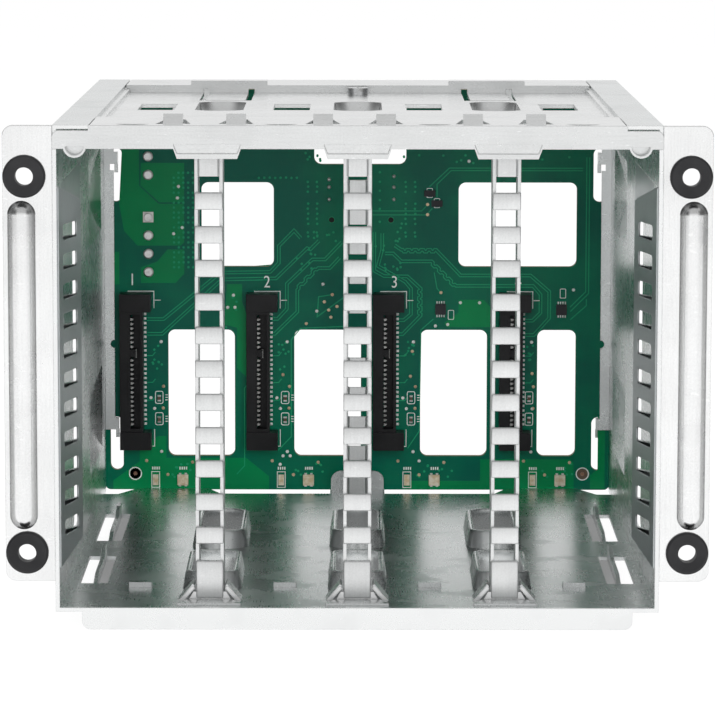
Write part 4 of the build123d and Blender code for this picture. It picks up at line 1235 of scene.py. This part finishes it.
    def lines(self, finishes: Finishes) -> None:
        """Etch the traces on both faces.

        Args:
            finishes: The object's materials.
        """
        traces = Piece("board_traces")
        for route in self.pairs():
            for side in SIDES:
                traces.ribbon(
                    beside(route, side * self.pair_gap / 2), self.trace, self.front, self.trace_rise
                )
        for route in self.singles():
            traces.ribbon(route, self.trace, self.front, self.trace_rise)
        traces.finish(finishes.trace, Slot.BOARD)
        rear = Piece("board_traces_rear")
        for bay in BAYS:
            for i in range(4):
                rise = 1.3 * i
                route = [
                    (bay - 10.0 - rise, 52.0), (bay - 10.0 - rise, 55.0 + rise),
                    (0.12 * bay + rise, 60.0 + rise), (0.12 * bay + rise, 72.5)
                ]
                rear.ribbon(route, self.trace, self.rear, self.trace_rise, Face.REAR)
        rear.finish(finishes.trace, Slot.BOARD)

    def holes(self, finishes: Finishes) -> None:
        """Make the small holes, test points and fiducials.

        Args:
            finishes: The object's materials.
        """
        via = [(0, 0), (0.34, 0), (0.34, 0.05), (0.24, 0.075), (0.16, 0.03), (0, 0.015)]
        dot = [(0, 0), (0.46, 0), (0.46, 0.05), (0.28, 0.10), (0, 0.12)]
        kinds = (
            ("board_vias", self.via_places(), via, finishes.trace),
            ("board_test_points", self.bright_vias(), dot, finishes.paste),
            ("board_gold_points", self.gold_vias(), dot, finishes.gold),
        )
        for name, places, profile, material in kinds:
            made = Piece(name)
            for place in places:
                for y, face in ((self.front, Face.FRONT), (self.rear, Face.REAR)):
                    made.lathe(profile, place, y, 10, face)
            made.finish(material, Slot.BOARD, 50)
        rings = Piece("fiducial_rings")
        dots = Piece("fiducial_dots")
        wells = Piece("fiducial_wells")
        for place in self.fiducials:
            rings.loop(circle(place, 1.85, 32), circle(place, 1.55, 32), self.front, self.ink_rise)
            wells.prism(circle(place, 1.5, 32), self.front, self.film)
            dots.prism(circle(place, 0.55, 20), self.front, self.pad_rise)
        rings.finish(finishes.ink, Slot.BOARD)
        wells.finish(finishes.ceramic, Slot.BOARD)
        dots.finish(finishes.copper, Slot.BOARD)

    def solder(self, finishes: Finishes) -> None:
        """Make the soldered joints of the power inlets and the data port.

        Args:
            finishes: The object's materials.
        """
        joints = Piece("solder_joints")
        dome = [(0, 0), (1.45, 0), (1.42, 0.06), (1.25, 0.16), (0.85, 0.28), (0.4, 0.34), (0, 0.35)]
        for z in self.power_round:
            joints.lathe(dome, (self.power_x, z), self.front, 28)
        pad = rectangle((self.power_x, self.power_square), 2.9, 2.9)
        joints.prism(pad, self.front, 0.1)
        joints.lathe(
            [(0, 0.05), (1.3, 0.05), (1.1, 0.22), (0.6, 0.32), (0, 0.34)],
            (self.power_x, self.power_square), self.front, 28
        )
        bead = [(0, 0), (0.55, 0), (0.52, 0.12), (0.36, 0.32), (0, 0.42)]
        for place in self.port_pads:
            joints.lathe(bead, place, self.front, 18)
        joints.finish(finishes.solder, Slot.PIN, 60)
        # The peg holes are thin black discs on the board's front: painted shade inside the holes.
        holes = Piece("peg_holes")
        for place in self.peg_holes:
            holes.prism(circle(place, 0.78, 24), self.front, 0.03)
        holes.finish(finishes.rubber, Slot.BOARD)
        rims = Piece("peg_hole_rims")
        for x, z in self.peg_holes:
            rims.loop(circle((x, z), 0.9, 24), circle((x, z), 0.78, 24), self.front, self.pad_rise)
        rims.finish(finishes.trace, Slot.BOARD)

    def ink(self, finishes: Finishes) -> None:
        """Print the outlines, ticks and bay numbers."""
        ink = Piece("board_print")
        line = 0.22
        for bay in BAYS:
            left, right = bay - 13.2, bay - 3.95
            for top, way in ((55.1, 1), (11.7, -1)):
                ink.ribbon(
                    [(left + 2.0, top), (right, top), (right, top - way * 4.75)], line, self.front,
                    self.ink_rise
                )
            ink.ribbon([(right + 0.2, 52.6), (right + 1.9, 52.6)], line, self.front, self.ink_rise)
            for z in (25.4, 19.4):
                place = (bay - 2.6 + beside_vent(bay), z)
                ink.loop(
                    rectangle(place, 2.3, 3.6, 0.5), rectangle(place, 1.9, 3.2, 0.35), self.front,
                    self.ink_rise
                )
                for k in () if beside_vent(bay) else (-1, 0, 1):
                    ink.ribbon(
                        [(bay - 0.9, z + 0.7 * k), (bay - 0.2, z + 0.7 * k)], line, self.front,
                        self.ink_rise
                    )
            light = (bay - 3.7, 2.3)
            ink.loop(rectangle(light, 2.4, 4.6), rectangle(light, 2.0, 4.2), self.front, self.ink_rise)
            for x in (bay - 3.6, bay + 4.0):
                for k in range(4):
                    ink.prism(rectangle((x - 0.9 + 0.6 * k, 5.5), 0.35, 0.8), self.front, self.ink_rise)
        for place in ((19.9, 82.5), (21.9, 79.7), (56.9, 54.6), (25.9, 48.6)):
            ink.loop(
                rectangle(place, 1.7, 2.7, 0.3), rectangle(place, 1.35, 2.35, 0.2), self.front,
                self.ink_rise
            )
        ink.finish(finishes.ink, Slot.BOARD)
        for i, (x, z) in enumerate(((-62.4, 58.2), (-25.1, 57.6), (10.2, 57.6), (44.5, 57.6))):
            self.number(str(i + 1), x, z, finishes)

    def number(self, text: str, x: float, z: float, finishes: Finishes) -> None:
        """Print one bay's number.

        Args:
            text: The number.
            x: Its middle across.
            z: Its middle height.
            finishes: The object's materials.
        """
        curve = bpy.data.curves.new(f"bay_number_{text}", "FONT")
        curve.body = text
        curve.size = 4.7 * MM
        curve.align_x, curve.align_y = "CENTER", "CENTER"
        curve.extrude = self.ink_rise / 2 * MM
        label = bpy.data.objects.new(f"bay_number_{text}_text", curve)
        bpy.context.scene.collection.objects.link(label)
        label.rotation_euler = (math.radians(90), 0, 0)
        label.scale = (0.82, 1, 1)
        label.location = (x * MM, (self.front - self.ink_rise / 2) * MM, z * MM)
        bpy.context.view_layer.update()
        mesh = bpy.data.meshes.new_from_object(label)
        mesh.transform(label.matrix_world)
        bpy.data.objects.remove(label)
        mesh.materials.clear()
        mesh.materials.append(finishes.ink)
        made = bpy.data.objects.new(f"bay_number_{text}", mesh)
        bpy.context.scene.collection.objects.link(made)
        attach(made, BODY)
        LOG.info("piece %s", made.name)


@dataclass
class BoardParts:
    """The parts on the board: receptacles, inlets, chips, lights and their tinned feet."""

    leg: float = 0.36
    leg_pitch: float = 0.65
    leg_reach: float = 0.85
    chips: tuple[Point, ...] = ((23.0, 50.2), (56.6, 50.1))
    key: tuple[int, ...] = (15, 16)

    def build(self, finishes: Finishes) -> None:
        """Dress the nodes and add their feet.

        Args:
            finishes: The object's materials.
        """
        numbers = range(1, len(BAYS) + 1)
        dress(["backplane_board"], finishes.board)
        dress([f"drive_receptacle_{i}" for i in numbers], finishes.black)
        dress(["data_receptacle_core"], finishes.black)
        dress(["data_receptacle_shell"], finishes.steel)
        dress(["power_inlet_upper", "power_inlet_lower"], finishes.nylon)
        dress(["power_pins_upper", "power_pins_lower"], finishes.tin)
        dress(["board_chips", "board_chips_small"], finishes.chip)
        dress(["status_lights_narrow", "status_lights_square"], finishes.lens)
        self.legs(finishes)
        self.caps(finishes)
        for number, bay in enumerate(BAYS, 1):
            self.contacts(number, bay, finishes)

    def legs(self, finishes: Finishes) -> None:
        """Add the chips' gull-wing legs."""
        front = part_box("backplane_board")[0].y / MM
        low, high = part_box("board_chips")
        tall = (high.z - low.z) / MM
        legs = Piece("chip_legs")
        for x, z in self.chips:
            for i in range(4):
                middle = x + self.leg_pitch * (i - 1.5)
                for way in SIDES:
                    start = z + way * (tall / 2 - 0.1)
                    end = start + way * self.leg_reach
                    legs.block(
                        (middle - self.leg / 2, front - 0.22, min(start, end)),
                        (middle + self.leg / 2, front - 0.02, max(start, end)),
                        0.05,
                    )
        legs.finish(finishes.tin, Slot.CONTACT, 40)

    def contacts(self, number: int, bay: float, finishes: Finishes) -> None:
        """Set the hooked spring contacts in one receptacle, with their soldered tails.

        Args:
            number: The bay's number.
            bay: Its middle.
            finishes: The object's materials.
        """
        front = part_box("backplane_board")[0].y / MM
        wall = bay - 10.3
        hook = ((0.06, -0.36), (0.50, -0.36), (0.95, -0.05), (0.95, 0.16), (0.40, 0.36), (0.06, 0.36))
        made, tails = Piece(f"spring_contacts_{number}"), Piece(f"contact_tails_{number}")
        for k in range(25):
            z = 33.4 + 1.28 * (k - 12)
            tails.block((bay - 6.75, front - 0.30, z - 0.34), (bay - 6.05, front - 0.01, z + 0.34), 0.08)
        for k in range(24):
            z = 33.2 + 1.27 * (k - 11.5)
            if k in self.key:
                continue
            made.prism([(wall + a, z + b) for a, b in hook], front - 5.2, 1.6, Face.REAR)
            made.prism([
                (wall + a, z + b) for a, b in ((0.1, -0.25), (0.35, -0.25), (0.35, 0.25), (0.1, 0.25))
            ],
                       front - 3.6, 3.5, Face.REAR)
        for k in range(7):
            z = 33.2 + 1.27 * 4 + 0.36 * (k - 3)
            made.prism(rectangle((wall + 1.62, z), 0.30, 0.2), front - 4.75, 0.4, Face.REAR)
        tails.finish(finishes.paste, Slot.CONTACT, 40)
        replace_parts(made.finish(finishes.spring, Slot.CONTACT), f"receptacle_contacts_{number}")

    def caps(self, finishes: Finishes) -> None:
        """Add the tinned ends of the passives and the feet of the square lights."""
        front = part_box("backplane_board")[0].y / MM
        caps, bodies = Piece("tinned_ends"), Piece("passive_bodies")
        for bay in BAYS:
            x = bay - 2.6 + beside_vent(bay)
            for z in (19.2, 25.2):
                bodies.block((x - 0.45, front - 0.5, z - 0.8), (x + 0.45, front, z + 0.8), 0.06)
                for way in SIDES:
                    middle = z + way * 0.66
                    caps.block(
                        (x - 0.5, front - 0.56, middle - 0.24), (x + 0.5, front - 0.01, middle + 0.24),
                        0.08
                    )
            for way in SIDES:
                for x in (bay + 3.1, bay + 4.7):
                    middle = 2.3 + way * 1.6
                    caps.block(
                        (x - 0.35, front - 0.35, middle - 0.3), (x + 0.35, front - 0.01, middle + 0.3),
                        0.06
                    )
        caps.finish(finishes.tin, Slot.PIN, 40)
        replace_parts(bodies.finish(finishes.ceramic, Slot.PASSIVE, 40), "board_passives")


@dataclass
class Studio:
    """The camera, floor and soft lights."""

    distance: float = 0.9263
    height: float = 0.1804
    pitch: float = 7.437
    roll: float = 0.08
    heading: float = 0.0
    focal_pixels: float = 4000.0
    image_pixels: float = 715.0
    sensor: float = 36.0
    floor_drop: float = 0.0002
    shadow_footprint: Triple = (0.0655, 0.042, 0.164)
    floor_white: float = 1.05
    floor_share: float = 0.90
    shaded_share: float = 0.20
    plain_light: float = 0.62
    backdrop_glow: float = 0.92
    front_dimming: float = 0.42
    side_dimming: float = 0.75

    def build(self) -> None:
        """Make the camera, floor and lights."""
        self.camera()
        self.floor()
        self.world()
        self.lamps()

    def camera(self) -> None:
        """Stand the camera where the photograph was taken from."""
        data = bpy.data.cameras.new("camera")
        data.sensor_width = self.sensor
        data.lens = self.sensor * self.focal_pixels / self.image_pixels
        data.clip_start, data.clip_end = 0.01, 20.0
        made = bpy.data.objects.new("camera", data)
        turn = Matrix.Rotation(math.radians(self.heading), 4, "Z")
        turn = turn @ Matrix.Rotation(math.radians(90 - self.pitch), 4, "X")
        turn = turn @ Matrix.Rotation(math.radians(self.roll), 4, "Z")
        made.matrix_world = Matrix.Translation((0.0, -self.distance, self.height)) @ turn
        bpy.context.scene.collection.objects.link(made)
        bpy.context.scene.camera = made

    def floor(self) -> None:
        """Lay a white floor that keeps a faint shadow, with a painted shadow under the cage, where it is dark and
        glows less white.
        """
        shader = Shader("floor_white")
        camera = shader.node("ShaderNodeLightPath", output="Is Camera Ray")
        glossy = shader.node("ShaderNodeLightPath", output="Is Glossy Ray")
        side, start, end = self.shadow_footprint
        across, along = (
            shader.node("ShaderNodeSeparateXYZ", inputs={0: shader.place()}, output=axis) for axis in "XY"
        )
        # Painted shadow: inside the cage's footprint the floor's colour is dark and its white glow is cut down.
        under = 1 - across.math("ABSOLUTE", across, 0.0).step(side, side + 0.001)
        under = under * along.step(start, start + 0.004) * (1 - along.step(end, end + 0.004))
        share = self.floor_share - (self.floor_share - self.shaded_share) * under
        grain = shader.noise(30, 2)
        pale = shader.mix(grain * 0.1, (0.86, 0.86, 0.86), (0.80, 0.80, 0.80))
        shader.feed("Base Color", shader.mix(under, pale, (0.16, 0.17, 0.17)))
        shader.constants(Roughness=0.9)
        white = shader.node("ShaderNodeEmission", inputs={"Strength": self.floor_white})
        both = shader.node(
            "ShaderNodeMixShader",
            inputs={0: (camera + glossy) * share, 1: Link(shader, shader.surface.outputs[0]), 2: white},
        )
        out = next(n for n in shader.tree.nodes if n.type == "OUTPUT_MATERIAL")
        shader.join(out.inputs["Surface"], both)
        mesh = bpy.data.meshes.new("floor")
        reach, level = 6.0, CAD_BOX[0].z - self.floor_drop
        corners = [
            (-reach, -reach, level), (reach, -reach, level), (reach, reach, level), (-reach, reach, level)
        ]
        mesh.from_pydata(corners, [], [(0, 1, 2, 3)])
        mesh.materials.append(shader.material)
        floor = bpy.data.objects.new("floor", mesh)
        bpy.context.scene.collection.objects.link(floor)

    def world(self) -> None:
        """Give a white surround to the camera, a dimmer one to reflections of the front, and plain light."""
        world = bpy.data.worlds.new("studio")
        bpy.context.scene.world = world
        world.use_nodes = True
        world.node_tree.nodes.clear()
        sky = Tree(world.node_tree)
        way = sky.node("ShaderNodeTexCoord", output="Generated")
        across, back, above = (
            sky.node("ShaderNodeSeparateXYZ", inputs={0: way}, output=axis) for axis in "XYZ"
        )
        camera, glossy = (
            sky.node("ShaderNodeLightPath", output=f"Is {kind} Ray") for kind in ("Camera", "Glossy")
        )
        dim = self.front_dimming * above.step(0.10, 0.40) * (1 - back.step(-0.2, 0.6))
        dim = dim + self.side_dimming * across.math("ABSOLUTE", across, 0.0).step(0.55, 0.95) * (1 - dim)
        level = camera + glossy * (self.backdrop_glow - dim) + self.plain_light * (1 - camera - glossy)
        light = sky.node("ShaderNodeBackground", inputs={"Color": (1, 1, 1, 1), "Strength": level})
        sky.node("ShaderNodeOutputWorld", inputs={"Surface": light})

    def lamps(self) -> None:
        """Hang the soft boxes."""
        lamps = (
            ("key", (-0.7, -1.0, 1.1), 0.9, 14.0),
            ("fill", (0.9, -0.9, 0.5), 0.9, 6.0),
            ("top", (0.0, 0.2, 1.3), 1.0, 10.0),
            ("front", (0.15, -1.3, 0.32), 0.7, 10.0),
        )
        aim = Vector((0.0, 0.06, 0.05))
        for name, place, size, power in lamps:
            data = bpy.data.lights.new(name, "AREA")
            data.size = size
            data.energy = power
            made = bpy.data.objects.new(name, data)
            made.location = place
            made.visible_glossy = False
            made.rotation_euler = (aim - Vector(place)).to_track_quat("-Z", "Y").to_euler()
            bpy.context.scene.collection.objects.link(made)


def main() -> None:
    """Build the dressed object and its studio."""
    logging.basicConfig(level=logging.INFO, format="%(name)s %(message)s")
    bpy.context.scene.view_settings.view_transform = "Standard"
    Studio().build()
    finishes = Finishes()
    Cage().build(finishes)
    BoardParts().build(finishes)
    BoardArt().build(finishes)


if __name__ == "__main__":
    main()
